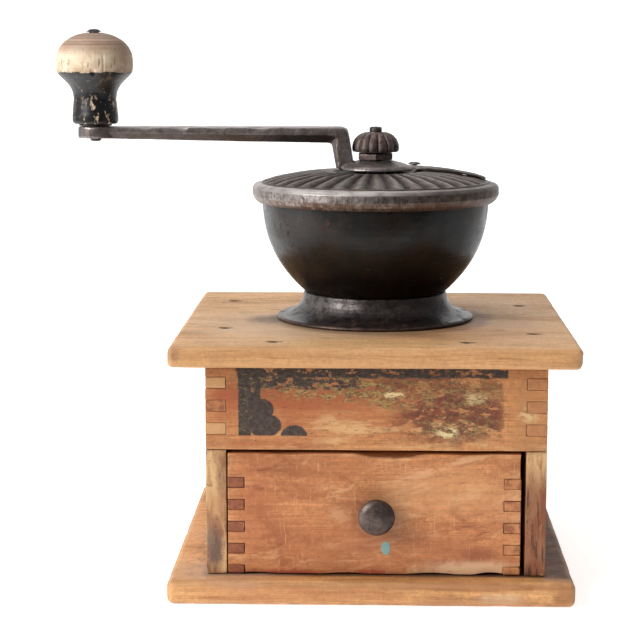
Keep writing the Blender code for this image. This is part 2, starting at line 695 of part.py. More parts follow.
def make_step_bearing(mat):
    """Cup that the spindle's lower end turns in, lifted by the adjusting screw."""
    profile = [(0, 75.2), (2.9, 75.2), (ADJUSTER_R, 74.8), (ADJUSTER_R, 72.6), (0, 72.6)]
    return turned("step_bearing", profile, mat, steps=16)


# ---------------------------------------------------------------- crank
HUB_LOW = 175.2
HUB_TOP = 179.8
NUT_LOW = 180.1
NUT_HIGH = 182.9
CAP_LOW = 183.3
CAP_TOP = 192.3
PIN_R = 2.2
EYE_R = 7.9
EYE_LOW = 189.4


# the arm's sections from the eye to the hub: outer and inner point (x, z), half width, where the
# upright side ends as a share of the thickness, and half width of the narrow side
ARM_SECTIONS = [((3 - CRANK_R, ARM_TOP), (3 - CRANK_R, 189.2), 4.6, 0.5, 2.4),
                ((-CRANK_R / 2, ARM_TOP), (-CRANK_R / 2, 188.0), 5.2, 0.5, 2.0),
                ((-23.0, ARM_TOP), (-22.4, 187.4), 5.8, 0.5, 2.2),
                ((-15.0, ARM_TOP), (-20.2, 187.3), 6.0, 0.55, 2.8),
                ((-12.6, 193.6), (-19.7, 186.9), 6.0, 0.6, 3.2),
                ((-11.7, 190.5), (-19.4, 186.2), 6.1, 0.7, 3.6),
                ((-10.9, 185.5), (-19.0, 184.0), 6.2, 0.8, 4.2),
                ((-9.5, 176.4), (-17.5, 176.4), 6.6, 0.85, 4.8)]


def arm_section(outer, inner, half_width, upright, keel):
    """Six corners: flat outer side, upright flanks, then bevels to the narrow inner side."""
    outer = Vector((outer[0], 0, outer[1]))
    inner = Vector((inner[0], 0, inner[1]))
    shoulder = outer.lerp(inner, upright)
    across = Vector((0, 1, 0))
    corners = [(outer, half_width), (shoulder, half_width), (inner, keel), (inner, -keel),
               (shoulder, -half_width), (outer, -half_width)]
    return [point + across * side for point, side in corners]


def arm_mesh():
    bm = bmesh.new()
    loops = [[bm.verts.new(point * MM) for point in arm_section(*sizes)] for sizes in ARM_SECTIONS]
    for loop, following in zip(loops, loops[1:]):
        for i in range(6):
            bm.faces.new((loop[i], loop[(i + 1) % 6], following[(i + 1) % 6], following[i]))
    bm.faces.new(loops[0])
    bm.faces.new(loops[-1][::-1])
    return to_mesh(bm, "arm")


def make_crank(mat):
    hub = [(0, HUB_TOP), (8.0, HUB_TOP - 0.1), (12.4, 178.5), (15.4, 177.3), (16.4, 176.3), (16.2, HUB_LOW),
           (0, HUB_LOW)]
    crank = smooth(add_part("crank_arm", turned_mesh(hub, 40), mat))
    boolean(crank, arm_mesh(), "UNION")
    boolean(crank, rods_mesh([((-CRANK_R, 0), EYE_R, EYE_LOW, ARM_TOP)], sides=24), "UNION")
    half = SQUARE / 2 + GAP
    boolean(crank, cubes_mesh([((-half, -half, HUB_LOW - 2), (half, half, 182))]))
    return boolean(crank, rods_mesh([((-CRANK_R, 0), PIN_R + GAP, EYE_LOW - 2, ARM_TOP + 2)], sides=12))


def make_lock_nut(mat):
    nut = add_part("lock_nut", prism_mesh(hexagon(8.7), NUT_LOW, NUT_HIGH), mat)
    return boolean(nut, rods_mesh([((0, 0), THREAD_R + GAP, 177, 185)], sides=16))


def make_cap_nut(mat):
    profile = [(THREAD_R + GAP, CAP_TOP), (5.0, CAP_TOP - 0.1), (7.6, 191.1), (9.4, 189.3), (10.35, 187.0),
               (10.6, 185.0), (10.2, CAP_LOW + 0.2), (THREAD_R + GAP, CAP_LOW)]
    mesh = columns(turned_mesh(profile, 28), 28, lambda r, z: (r * 0.92 if r > 7 else r, z))
    return smooth(add_part("cap_nut", mesh, mat))


GRIP_LOW = 195.7
GRIP_TOP = 235.8
HEAD_R = 17.05
HEAD_Z = 223.2
HEAD_H = 12.9
HEAD_FULL = 0.91    # under 1 the head is squarer than an ellipse


def grip_profile():
    """Mushroom head over a waist that swells out again at the foot."""
    head = []
    for step in range(6):
        angle = math.pi / 2 * step / 5
        wide = max(0.0, math.sin(angle)) ** HEAD_FULL
        tall = max(0.0, math.cos(angle)) ** HEAD_FULL
        head.append((HEAD_R * wide, HEAD_Z + HEAD_H * tall))
    head[0] = (PIN_R + GAP, GRIP_TOP)
    neck = [(17.0, 219.8), (16.4, 217.9), (14.4, 216.0), (11.7, 213.3), (10.1, 210.6), (9.45, 207.3),
            (9.85, 203.5), (10.25, 199.0), (10.25, 197.0), (9.6, GRIP_LOW)]
    return head + neck + [(PIN_R + GAP, GRIP_LOW)]


def make_grip(mat):
    profile = [(radius, height - GRIP_LOW) for radius, height in grip_profile()]
    return turned("knob_grip", profile, mat, (-CRANK_R, 0, GRIP_LOW), steps=24)


def make_knob_pin(mat):
    profile = [(0, 237.6), (1.9, 237.4), (3.7, 236.2), (PIN_R, 236.2), (PIN_R, EYE_LOW - GAP),
               (2.7, EYE_LOW - GAP), (2.0, EYE_LOW - 1.3), (0, EYE_LOW - 1.5)]
    return turned("knob_pin", profile, mat, (-CRANK_R, 0, 0), steps=12)


def make_washer(mat):
    profile = [(7.4, 195.4), (7.4, ARM_TOP + GAP), (PIN_R + GAP, ARM_TOP + GAP), (PIN_R + GAP, 195.4)]
    return turned("knob_washer", profile, mat, (-CRANK_R, 0, 0), steps=16)


# ---------------------------------------------------------------- assembly
def build():
    board_pine = pine("board pine", (0.62, 0.40, 0.23))
    side_pine = pine("side pine", (0.40, 0.24, 0.13))
    rail_pine = pine("rail pine", (0.45, 0.27, 0.14))
    drawer_pine = pine("drawer pine", (0.64, 0.33, 0.15))
    knob_wood = pine("knob wood", (0.60, 0.44, 0.32))
    black_iron = material("black painted iron", (0.015, 0.012, 0.011), 0.25, 0.3)
    grey_iron = iron("bare grey iron", (0.28, 0.25, 0.23))
    crank_iron = iron("crank iron", (0.16, 0.14, 0.13))
    dark_iron = iron("dark iron", (0.08, 0.06, 0.055))
    steel = iron("steel", (0.35, 0.33, 0.31), 0.35)
    brass = iron("brass", (0.55, 0.38, 0.15), 0.4)

    make_base_board(board_pine)
    make_top_board(board_pine)
    make_side("left_side", -1, side_pine)
    make_side("right_side", 1, side_pine)
    make_front_rail(rail_pine)
    make_back_board(side_pine)
    make_box_nails(dark_iron)

    drawer = [make_drawer_front(drawer_pine), make_drawer_side("drawer_left", -1, side_pine),
              make_drawer_side("drawer_right", 1, side_pine), make_drawer_back(side_pine),
              make_drawer_panel(side_pine), make_pull(dark_iron), make_pull_screw(steel)]
    hang_on(joint_empty("drawer_run", (0, -HALF_D, DRAWER_BOTTOM)), drawer + make_drawer_nails(dark_iron))

    make_foot(black_iron)
    make_bowl(black_iron)
    make_rivets(dark_iron)
    make_lid(grey_iron)
    shutter = [make_shutter(grey_iron), make_shutter_knob(steel)]
    hang_on(joint_empty("shutter_axis", (0, 0, COLLAR_LOW)), shutter)

    make_housing(dark_iron)
    make_outer_burr(steel)
    make_guide(dark_iron)
    make_mill_screws(steel)
    make_lower_bridge(dark_iron)
    make_bridge_screws(steel)
    make_adjuster_nut(steel)
    adjuster_axis = joint_empty("adjuster_axis", (0, 0, BRIDGE_LOW))
    hang_on(adjuster_axis, [make_adjuster(steel), make_step_bearing(brass)])

    crank = [make_spindle(steel), make_cone(steel), make_cone_pin(steel), make_crank(crank_iron),
             make_lock_nut(dark_iron), make_cap_nut(dark_iron), make_knob_pin(dark_iron),
              make_washer(dark_iron)]
    hang_on(joint_empty("crank_axis", (0, 0, HUB_LOW)), crank)
    hang_on(joint_empty("knob_axis", (-CRANK_R, 0, ARM_TOP)), [make_grip(knob_wood)])


build()
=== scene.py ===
"""An old coffee mill: a pine box with a drawer, an iron hopper and a crank with a turned knob."""
import math

import bmesh
import bpy
import numpy as np
from mathutils import Color, Matrix, Vector


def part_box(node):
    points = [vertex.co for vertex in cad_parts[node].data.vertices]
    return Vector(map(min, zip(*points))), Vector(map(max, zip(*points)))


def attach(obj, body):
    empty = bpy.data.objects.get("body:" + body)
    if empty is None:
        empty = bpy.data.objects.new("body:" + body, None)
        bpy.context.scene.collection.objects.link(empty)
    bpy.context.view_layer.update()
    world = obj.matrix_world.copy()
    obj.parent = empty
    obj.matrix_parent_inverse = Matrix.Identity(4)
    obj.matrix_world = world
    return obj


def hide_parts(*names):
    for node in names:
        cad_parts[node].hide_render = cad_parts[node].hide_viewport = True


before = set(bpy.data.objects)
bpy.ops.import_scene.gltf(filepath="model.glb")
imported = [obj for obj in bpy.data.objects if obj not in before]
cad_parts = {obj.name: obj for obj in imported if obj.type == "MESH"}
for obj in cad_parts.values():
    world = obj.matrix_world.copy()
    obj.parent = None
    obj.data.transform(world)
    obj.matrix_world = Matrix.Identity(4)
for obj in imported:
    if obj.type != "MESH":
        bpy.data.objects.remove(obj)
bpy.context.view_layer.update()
MM = 0.001


# ==== Table, light and camera ====
# The mill stands on a pale table with a pale wall far behind it. One big soft window stands to the
# left and a little in front, a weak one overhead; the right side is left to the room's own light.
class Value:
    """One output of a finish's steps; masks are multiplied, added and joined (|) like numbers."""

    def __init__(self, finish, socket):
        self.finish = finish
        self.socket = socket

    def maths(self, how, *others):
        return self.finish.step("Math", dict(enumerate((self, *others))), operation=how)

    def __add__(self, other):
        return self.maths("ADD", other)

    def __sub__(self, other):
        return self.maths("SUBTRACT", other)

    def __rsub__(self, other):
        return self.maths("MULTIPLY_ADD", -1.0, other)

    def __mul__(self, other):
        return self.maths("MULTIPLY", other)

    def __or__(self, other):
        return self.maths("MAXIMUM", other)

    __ror__ = __or__

    def ramp(self, low, high, to_low=0.0, to_high=1.0):
        """Goes softly from to_low to to_high while the value goes from low to high."""
        return self.finish.step("MapRange", {"Value": self, "From Min": low, "From Max": high,
                                             "To Min": to_low,
                                             "To Max": to_high}, interpolation_type="SMOOTHSTEP")

    def split(self):
        node = self.finish.step("SeparateXYZ", {0: self}).socket.node
        return [Value(self.finish, part) for part in node.outputs]

    def shifted(self, x, y, z):
        return self.finish.step("VectorMath", {0: self, 1: (x, y, z)}, operation="ADD")

    def stretched(self, x, y, z):
        return self.finish.step("VectorMath", {0: self, 1: (x, y, z)}, operation="MULTIPLY")


class Finish:
    """A finish mixed step by step: each step gives a value that the next one can use. Places are in
    millimetres in the mill's own frame; colours are as on a paint chart, each part from 0 to 255."""

    def __init__(self, name):
        self.material = bpy.data.materials.new(name)
        self.material.use_nodes = True
        self.tree = self.material.node_tree
        self.skin = self.tree.nodes["Principled BSDF"]
        self.facing = self.step("TexCoord", {}, "Normal")
        self.place = self.step("TexCoord", {}, "Object").stretched(1 / MM, 1 / MM, 1 / MM)
        self.worn = self.step("Attribute", {}, "Fac", attribute_name="worn")
        self.crease = self.step("Attribute", {}, "Fac", attribute_name="crease")

    def feed(self, socket, value):
        if isinstance(value, Value):
            self.tree.links.new(value.socket, socket)
        elif socket.type == "RGBA":
            socket.default_value = (*(value if isinstance(value, Color) else tone(*value)), 1.0)
        else:
            socket.default_value = value

    def step(self, kind, feeds, output=0, **settings):
        node = self.tree.nodes.new("ShaderNode" + kind)
        for key, value in settings.items():
            setattr(node, key, value)
        for key, value in feeds.items():
            self.feed(node.inputs[key], value)
        return Value(self, node.outputs[output])

    def joined(self, x, y, z):
        return self.step("CombineXYZ", {0: x, 1: y, 2: z})

    def clouds(self, size, detail=5.0, rough=0.7, vector=None, swirl=0.0):
        """Soft random patches about size millimetres across, around 0.5."""
        feeds = {"Vector": vector or self.place, "Scale": 1 / size, "Detail": detail, "Roughness": rough,
                 "Distortion": swirl}
        return self.step("TexNoise", feeds, "Fac")

    def mix(self, amount, under, over, how="MIX"):
        return self.step("Mix", {0: amount, 6: under, 7: over}, 2, data_type="RGBA", blend_type=how)


    def stain(self, mask, colour, amount=1.0):
        self.colour = self.mix(mask * amount, self.colour, colour)

    def shaded(self, value):
        """Makes the colour so far lighter or darker by a value round 1."""
        self.colour = self.mix(1.0, self.colour, self.joined(value, value, value), "MULTIPLY")

    def spot(self, centre, size, edge=0.3, ragged=0.5, speckle=3.0):
        """1 inside a spot with a ragged outline, 0 outside it."""
        near = self.place.shifted(*[-c for c in centre]).stretched(*[1 / s for s in size])
        reach = self.step("VectorMath", {0: near}, "Value", operation="LENGTH")
        reach = self.clouds(speckle, 4.0, 0.6) * ragged + (reach - ragged / 2)
        return reach.ramp(1 + edge, 1 - edge)

    def spots(self, *rows):
        """Stains in spots: each row is middle, half sizes, edge, raggedness, speckle, colour, strength."""
        for centre, size, edge, ragged, speckle, colour, amount in rows:
            self.stain(self.spot(centre, size, edge, ragged, speckle), colour, amount)

    def relief(self, height, depth, strength=1.0, over=None):
        """Bumps of the given depth in millimetres; over is relief that they sit on."""
        feeds = {"Height": height, "Distance": depth * MM, "Strength": strength}
        return self.step("Bump", {**feeds, "Normal": over} if over else feeds, "Normal")

    def done(self, colour, rough, relief=None, metal=0.0, **others):
        feeds = {"Base Color": colour, "Roughness": rough, "Metallic": metal, **others}
        if relief:
            feeds["Normal"] = relief
        for key, value in feeds.items():
            self.feed(self.skin.inputs[key], value)
        return self.material


def tone(red, green, blue):
    """A paint-chart colour, each part from 0 to 255, as the shader wants it."""
    return tuple(c / 12.92 if c <= 0.04045 else ((c + 0.055) / 1.055) ** 2.4 for c in
                 (red / 255, green / 255, blue / 255))


TABLE_GLOW = 0.6
TABLE_REACH = 1.1
TABLE_FRONT = 0.3
COVE_START = 1.2
COVE_BEND = 0.8
COVE_STEPS = 12
WALL_HIGH = 3.0


def table_finish():
    table = Finish("pale table")
    haze = table.clouds(400, 3.0, 0.5).ramp(0.35, 0.65)
    colour = table.mix(haze, Color((0.90, 0.90, 0.895)), Color((0.93, 0.93, 0.925)))
    glow = {"Emission Color": Color((1.0, 1.0, 1.0)), "Emission Strength": TABLE_GLOW}
    return table.done(colour, haze.ramp(0.0, 1.0, 0.75, 0.85), **glow)


outline = [(-TABLE_FRONT, 0.0), (COVE_START, 0.0)]
for step in range(1, COVE_STEPS + 1):
    turn = math.pi / 2 * step / COVE_STEPS
    outline.append((COVE_START + COVE_BEND * math.sin(turn), COVE_BEND * (1 - math.cos(turn))))
outline.append((COVE_START + COVE_BEND, WALL_HIGH))
corners = [(x, y, z) for y, z in outline for x in (-TABLE_REACH, TABLE_REACH)]
sheets = [(2 * i, 2 * i + 1, 2 * i + 3, 2 * i + 2) for i in range(len(outline) - 1)]
table_mesh = bpy.data.meshes.new("table_and_wall")
table_mesh.from_pydata(corners, [], sheets)
table_mesh.shade_smooth()
table_mesh.materials.append(table_finish())
table = bpy.data.objects.new("table_and_wall", table_mesh)
bpy.context.scene.collection.objects.link(table)


def window(name, at, aim, width, height, power, colour=(1.0, 1.0, 1.0)):
    light = bpy.data.lights.new(name, "AREA")
    light.shape = "RECTANGLE"
    light.size = width
    light.size_y = height
    light.energy = power
    light.color = colour
    holder = bpy.data.objects.new(name, light)
    holder.location = at
    holder.rotation_euler = (Vector(aim) - Vector(at)).to_track_quat("-Z", "Y").to_euler()
    bpy.context.scene.collection.objects.link(holder)


MIDDLE = (0.0, 0.0, 0.12)
window("left_window", (-1.25, -0.95, 0.85), MIDDLE, 0.9, 0.9, 25.0, (1.0, 0.985, 0.96))
window("overhead", (-0.35, 0.15, 1.6), MIDDLE, 1.2, 1.2, 6.0)
room = bpy.data.worlds.new("room")
room.use_nodes = True
sky = room.node_tree
way = sky.nodes.new("ShaderNodeTexCoord")
lean = sky.nodes.new("ShaderNodeVectorMath")
lean.operation = "DOT_PRODUCT"
lean.inputs[1].default_value = (-0.35, 0.75, 0.6)
fade = sky.nodes.new("ShaderNodeMapRange")
for key, value in (("From Min", -0.9), ("From Max", 0.9), ("To Min", 0.05), ("To Max", 0.62)):
    fade.inputs[key].default_value = value
sky.links.new(way.outputs["Generated"], lean.inputs[0])
sky.links.new(lean.outputs["Value"], fade.inputs["Value"])
sky.links.new(fade.outputs["Result"], sky.nodes["Background"].inputs["Strength"])
sky.nodes["Background"].inputs["Color"].default_value = (0.97, 0.98, 1.0, 1.0)
bpy.context.scene.world = room
bpy.context.scene.view_settings.view_transform = "Standard"

CAMERA_BACK = 0.8205
CAMERA_HIGH = 0.2322
CAMERA_DOWN = 8.636    # degrees below level
CAMERA_TURN = 1.73     # degrees to the left of the spindle
camera = bpy.data.cameras.new("camera")
camera.lens = 103.3
camera.sensor_width = 36.0
viewer = bpy.data.objects.new("camera", camera)
viewer.location = (0.0, -CAMERA_BACK, CAMERA_HIGH)
viewer.rotation_euler = (math.radians(90 - CAMERA_DOWN), 0.0, math.radians(CAMERA_TURN))
bpy.context.scene.collection.objects.link(viewer)
bpy.context.scene.camera = viewer


# ==== Base board ====
# A square pine board with its grain across the front, planed, rounded at the edges by long use and
# nailed up into the box from below. Its front edge is dented and its corners are rubbed bare.
def reach_of(node):
    """The lowest and highest corner of a part, in millimetres."""
    low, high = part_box(node)
    return np.array(low) / MM, np.array(high) / MM


def middle_of(node):
    low, high = reach_of(node)
    return (low + high) / 2


def new_piece(name, points, faces):
    """A closed mesh, from points in millimetres, set in the scene."""
    mesh = bpy.data.meshes.new(name)
    mesh.from_pydata((np.asarray(points) * MM).tolist(), [], faces)
    work = bmesh.new()
    work.from_mesh(mesh)
    bmesh.ops.recalc_face_normals(work, faces=work.faces)
    work.to_mesh(mesh)
    work.free()
    mesh.shade_smooth()
    piece = bpy.data.objects.new(name, mesh)
    bpy.context.scene.collection.objects.link(piece)
    return piece


def settle(piece):
    """Turns the modifiers on a piece into its mesh."""
    wanted = bpy.context.evaluated_depsgraph_get()
    mesh = bpy.data.meshes.new_from_object(piece.evaluated_get(wanted))
    piece.modifiers.clear()
    piece.data = mesh
    mesh.shade_smooth()
    return piece


def ruled(low, high, marks, cell, edge):
    """Lines across a board: one at each mark, one just beside it, and the rest at most a cell apart."""
    stops = sorted({low, high, *[m for m in marks if low < m < high]})
    lines = []
    for a, b in zip(stops, stops[1:]):
        inner = [a]
        if b - a > 2.3 * edge:
            inner += [a + edge, b - edge]
        inner.append(b)
        for c, d in zip(inner, inner[1:]):
            count = max(1, math.ceil((d - c) / cell)) if d - c > edge * 1.01 else 1
            lines += [c + (d - c) * i / count for i in range(count)]
    return np.array(lines + [high])


def plank(name, low, high, cell, notches=(), ease=0.35, edge=0.8):
    """A board in a fine grid of cells, with boxes notched out of it and its edges eased."""
    lines = []
    for axis in range(3):
        marks = [corner[axis] for notch in notches for corner in notch]
        lines.append(ruled(low[axis], high[axis], marks, cell[axis], edge))
    middles = [(row[1:] + row[:-1]) / 2 for row in lines]
    where = np.stack(np.meshgrid(*middles, indexing="ij"), -1)
    solid = np.ones(where.shape[:3], bool)
    for start, end in notches:
        solid &= ~np.all((where > np.array(start)) & (where < np.array(end)), axis=-1)
    wood = np.pad(solid, 1)
    counts = [len(row) for row in lines]
    quads = []
    for axis in range(3):
        one = np.eye(3, dtype=int)
        along, u, v = one[axis], one[(axis + 1) % 3], one[(axis + 2) % 3]
        for way in (1, -1):
            bare = np.argwhere(wood & ~np.roll(wood, -way, axis)) - 1
            bare = bare + along if way == 1 else bare
            around = [bare, bare + u, bare + u + v, bare + v][::way]
            quads.append(np.stack([(c[:, 0] * counts[1] + c[:, 1]) * counts[2] + c[:, 2] for c in around],
                                  1))
    used, faces = np.unique(np.concatenate(quads), return_inverse=True)
    i, j, k = np.unravel_index(used, counts)
    points = np.stack([lines[0][i], lines[1][j], lines[2][k]], 1)
    piece = new_piece(name, points, faces.reshape(-1, 4).tolist())
    bevel = piece.modifiers.new("eased edges", "BEVEL")
    bevel.width = ease * MM
    bevel.segments = 3 if ease < 1 else 7    # a wide round needs more
    bevel.limit_method = "ANGLE"
    bevel.angle_limit = math.radians(40)
    return settle(piece)


def bored(piece, holes, axis="Z", steps=20):
    """Round holes through a piece: each is (two other coordinates, radius, from, to)."""
    work = bmesh.new()
    turn = {"X": Matrix.Rotation(math.pi / 2, 4, "Y"), "Y": Matrix.Rotation(math.pi / 2, 4, "X"),
            "Z": Matrix.Identity(4)}[axis]
    for at, radius, low, high in holes:
        middle = list(at)
        middle.insert("XYZ".index(axis), (low + high) / 2)
        bmesh.ops.create_cone(work, cap_ends=True, segments=steps, radius1=radius * MM, radius2=radius * MM,
                              depth=(high - low) * MM, matrix=Matrix.Translation(Vector(middle)
                                                                                 * MM) @ turn)
    return cut(piece, work)


def cut(piece, work, how="DIFFERENCE"):
    """Cuts a piece by the closed shape in work, and takes the tool away again."""
    tool_mesh = bpy.data.meshes.new("tool")
    work.to_mesh(tool_mesh)
    work.free()
    tool = bpy.data.objects.new("tool", tool_mesh)
    bpy.context.scene.collection.objects.link(tool)
    chisel = piece.modifiers.new("cut", "BOOLEAN")
    chisel.operation = how
    chisel.solver = "EXACT"
    chisel.object = tool
    settle(piece)
    bpy.data.objects.remove(tool, do_unlink=True)
    bpy.data.meshes.remove(tool_mesh)
    return piece


def points_of(piece):
    points = np.empty(len(piece.data.vertices) * 3)
    piece.data.vertices.foreach_get("co", points)
    return points.reshape(-1, 3) / MM


def put_points(piece, points):
    piece.data.vertices.foreach_set("co", (points * MM).ravel())
    piece.data.update()
    return piece


def lumps(points, size, seed):
    """Smooth random heights from -1 to 1, with swells about size millimetres across."""
    heights = np.random.default_rng(seed).uniform(-1, 1, 4096)
    spread = points / size
    base = np.floor(spread).astype(np.int64)
    part = spread - base
    part = part * part * (3 - 2 * part)
    total = np.zeros(len(points))
    for corner in range(8):
        step = np.array([corner & 1, corner >> 1 & 1, corner >> 2 & 1])
        at = base + step
        code = (at[:, 0] * 73856093 ^ at[:, 1] * 19349663 ^ at[:, 2] * 83492791) % len(heights)
        total += heights[code] * np.prod(np.where(step, part, 1 - part), axis=1)
    return total


def keep(piece, name, values):
    mesh = piece.data
    if name in mesh.attributes:
        mesh.attributes.remove(mesh.attributes[name])
    mesh.attributes.new(name, "FLOAT", "POINT").data.foreach_set("value", values.astype(np.float32))


def age(piece, seed, rub=0.25, reach=3, ripple=0.04, size=10.0, stretch=(1, 1, 1), gain=3.0):
    """Years of use: edges are rubbed back unevenly and faces lose their flatness.
    Keeps how rubbed and how sunk each point is, for the finish to use."""
    mesh = piece.data
    points = points_of(piece)
    normals = np.empty(len(points) * 3)
    mesh.vertices.foreach_get("normal", normals)
    normals = normals.reshape(-1, 3)
    ends = np.empty(len(mesh.edges) * 2, np.int32)
    mesh.edges.foreach_get("vertices", ends)
    a, b = ends.reshape(-1, 2).T
    along = points[b] - points[a]
    along /= np.maximum(np.linalg.norm(along, axis=1), 1e-6)[:, None]
    count = len(points)
    near = np.maximum(np.bincount(a, minlength=count) + np.bincount(b, minlength=count), 1)

    def spread(values):
        around = np.bincount(a, values[b], count) + np.bincount(b, values[a], count)
        return (values + around) / (1 + near)

    bend = np.bincount(a, -np.sum(along * normals[a], 1), count) + np.bincount(b,
                                                                               np.sum(along * normals[b],
                                                                                      1), count)
    worn = np.clip(bend / near * gain, 0, 1)
    sunk = np.clip(-bend / near * gain, 0, 1)
    for _ in range(reach):
        worn = spread(worn)
        sunk = spread(sunk)
    stretched = points * np.array(stretch)
    uneven = 0.5 + 0.5 * lumps(stretched, size, seed)
    knocks = np.clip(lumps(stretched, size * 0.35, seed + 1), 0, 1)
    swell = lumps(stretched, size, seed + 2) + 0.4 * lumps(stretched, size * 0.3, seed + 3)
    back = rub * worn * (0.4 * uneven + knocks) * 2 + ripple * (0.7 - swell)
    put_points(piece, points - normals * back[:, None])
    keep(piece, "worn", np.clip(worn * (0.5 + uneven), 0, 1))
    keep(piece, "crease", np.clip(sunk * 1.4 - 0.12, 0, 1))
    return piece


def bitten(piece, at, reach, push):
    """A bit is broken or pressed out of a piece round one place."""
    points = points_of(piece)
    offset = (points - np.array(at)) / np.array(reach)
    fade = np.clip(1 - np.sum(offset * offset, axis=1), 0, 1)
    return put_points(piece, points + np.array(push) * fade[:, None])


def fitted(piece, node, body, finish):
    """Puts a finished piece in the place of its CAD part."""
    piece.data.materials.clear()
    piece.data.materials.append(finish)
    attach(piece, body)
    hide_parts(node)
    return piece


class Pine(Finish):
    """Old pine: year rings round a pith line beside the board, drawn-out fibres, end grain,
    darkening, grime in the creases and rubbed edges."""

    def __init__(self, name, along, pith, pale, dark, deep, ring=3.2, waver=9.0, drift=0.0, figure=0.4,
                 mottle=0.45):
        super().__init__(name)
        x, y, z = self.place.shifted(37.0 + drift, 11.0 + drift * 3, drift * 5).split()
        run, cross, rise = {"X": (x, y, z), "Y": (y, x, z), "Z": (z, x, y)}[along]

        def drawn(share, lean=0.0):
            """Places squeezed along the grain, so that patches come out long."""
            return self.joined(run * share, cross, run * lean + rise if lean else rise)

        off_cross, off_rise = cross - pith[0], rise - pith[1]
        reach = (off_cross * off_cross + off_rise * off_rise).maths("SQRT")
        reach = self.clouds(34.0, 2.0, 0.45, drawn(0.16)) * waver + reach
        reach = self.clouds(9.0, 2.0, 0.5, drawn(0.16)) * (waver * 0.16) + reach
        year = reach.maths("DIVIDE", ring).maths("FRACT")
        summer = year.ramp(0.25, 0.88) * year.ramp(1.0, 0.93)
        fibre = self.clouds(0.55, 3.0, 0.6, drawn(0.022))
        streak = self.clouds(3.2, 3.0, 0.6, drawn(0.06))
        cloudy = self.clouds(26.0, 4.0, 0.6, drawn(0.45))
        strength = self.clouds(48.0, 2.0, 0.5).ramp(0.3, 0.65, figure * 0.35, figure)
        self.colour = self.mix(summer * strength, pale, dark)
        self.stain(streak.ramp(0.48, 0.72, 0.0, 0.45), dark)
        self.stain(cloudy.ramp(0.5, 0.72, 0.0, 0.4), deep)
        self.shaded(fibre.ramp(0.32, 0.72, 1.14, 0.8))
        smoke = self.clouds(13.0, 6.0, 0.68, drawn(0.55, 0.35), 0.8)
        self.stain(smoke.ramp(0.5, 0.66, 0.0, mottle), dark)
        self.stain(smoke.ramp(0.48, 0.3, 0.0, mottle), pale)
        self.shaded(self.clouds(1.5, 4.0, 0.75).ramp(0.32, 0.68, 1.16, 0.82))
        pores = self.clouds(0.42, 1.0, 0.5, drawn(0.05)).ramp(0.66, 0.74)
        self.stain(pores, deep, 0.45)
        end = self.facing.split()["XYZ".index(along)].maths("ABSOLUTE").ramp(0.55, 0.85)
        straw = self.mix(self.clouds(0.5, 2.0, 0.6).ramp(0.35, 0.7), dark, deep)
        self.stain(end, self.mix(summer * 0.5, straw, deep), 0.75)
        self.height = fibre * 0.6 + summer * 0.5 - pores * 0.6
        self.gloss = cloudy.ramp(0.3, 0.7, 0.52, 0.68)

    def scratches(self, colour, amount=0.5, turn=0.25):
        """Fine marks that cross the grain at a slant, and stray dark specks."""
        x, y, z = self.place.split()
        slant = self.joined((z * turn + x) * 0.05, y, z)
        marks = self.clouds(1.6, 2.0, 0.7, slant).ramp(0.71, 0.76)
        specks = self.clouds(1.3, 2.0, 0.5).ramp(0.7, 0.78)
        self.stain(marks | specks, colour, amount)

    def sealed(self, rubbed, grime, rub=0.5, dirt=0.6):
        """Rubbed edges, dirty creases, and the relief of the grain."""
        self.stain(self.worn.ramp(0.12, 0.7), rubbed, rub)
        self.stain(self.crease.ramp(0.15, 0.6), grime, dirt)
        relief = self.relief(self.height, 0.14, 0.7)
        relief = self.relief(self.clouds(5.0, 3.0, 0.6), 0.3, 0.25, relief)
        return self.done(self.colour, self.gloss, relief)


BOARD_PALE = (216, 162, 104)
BOARD_DARK = (180, 122, 68)
BOARD_DEEP = (116, 70, 42)
BOX_MIDDLE = 0.7
BOX_HALF = (71.0, 74.0)
GRIME = (58, 38, 28)
NAIL_HOLE = 1.2
NAIL_SINK = 2.4
SINK_DEPTH = 0.95
OFF_TABLE = 0.02


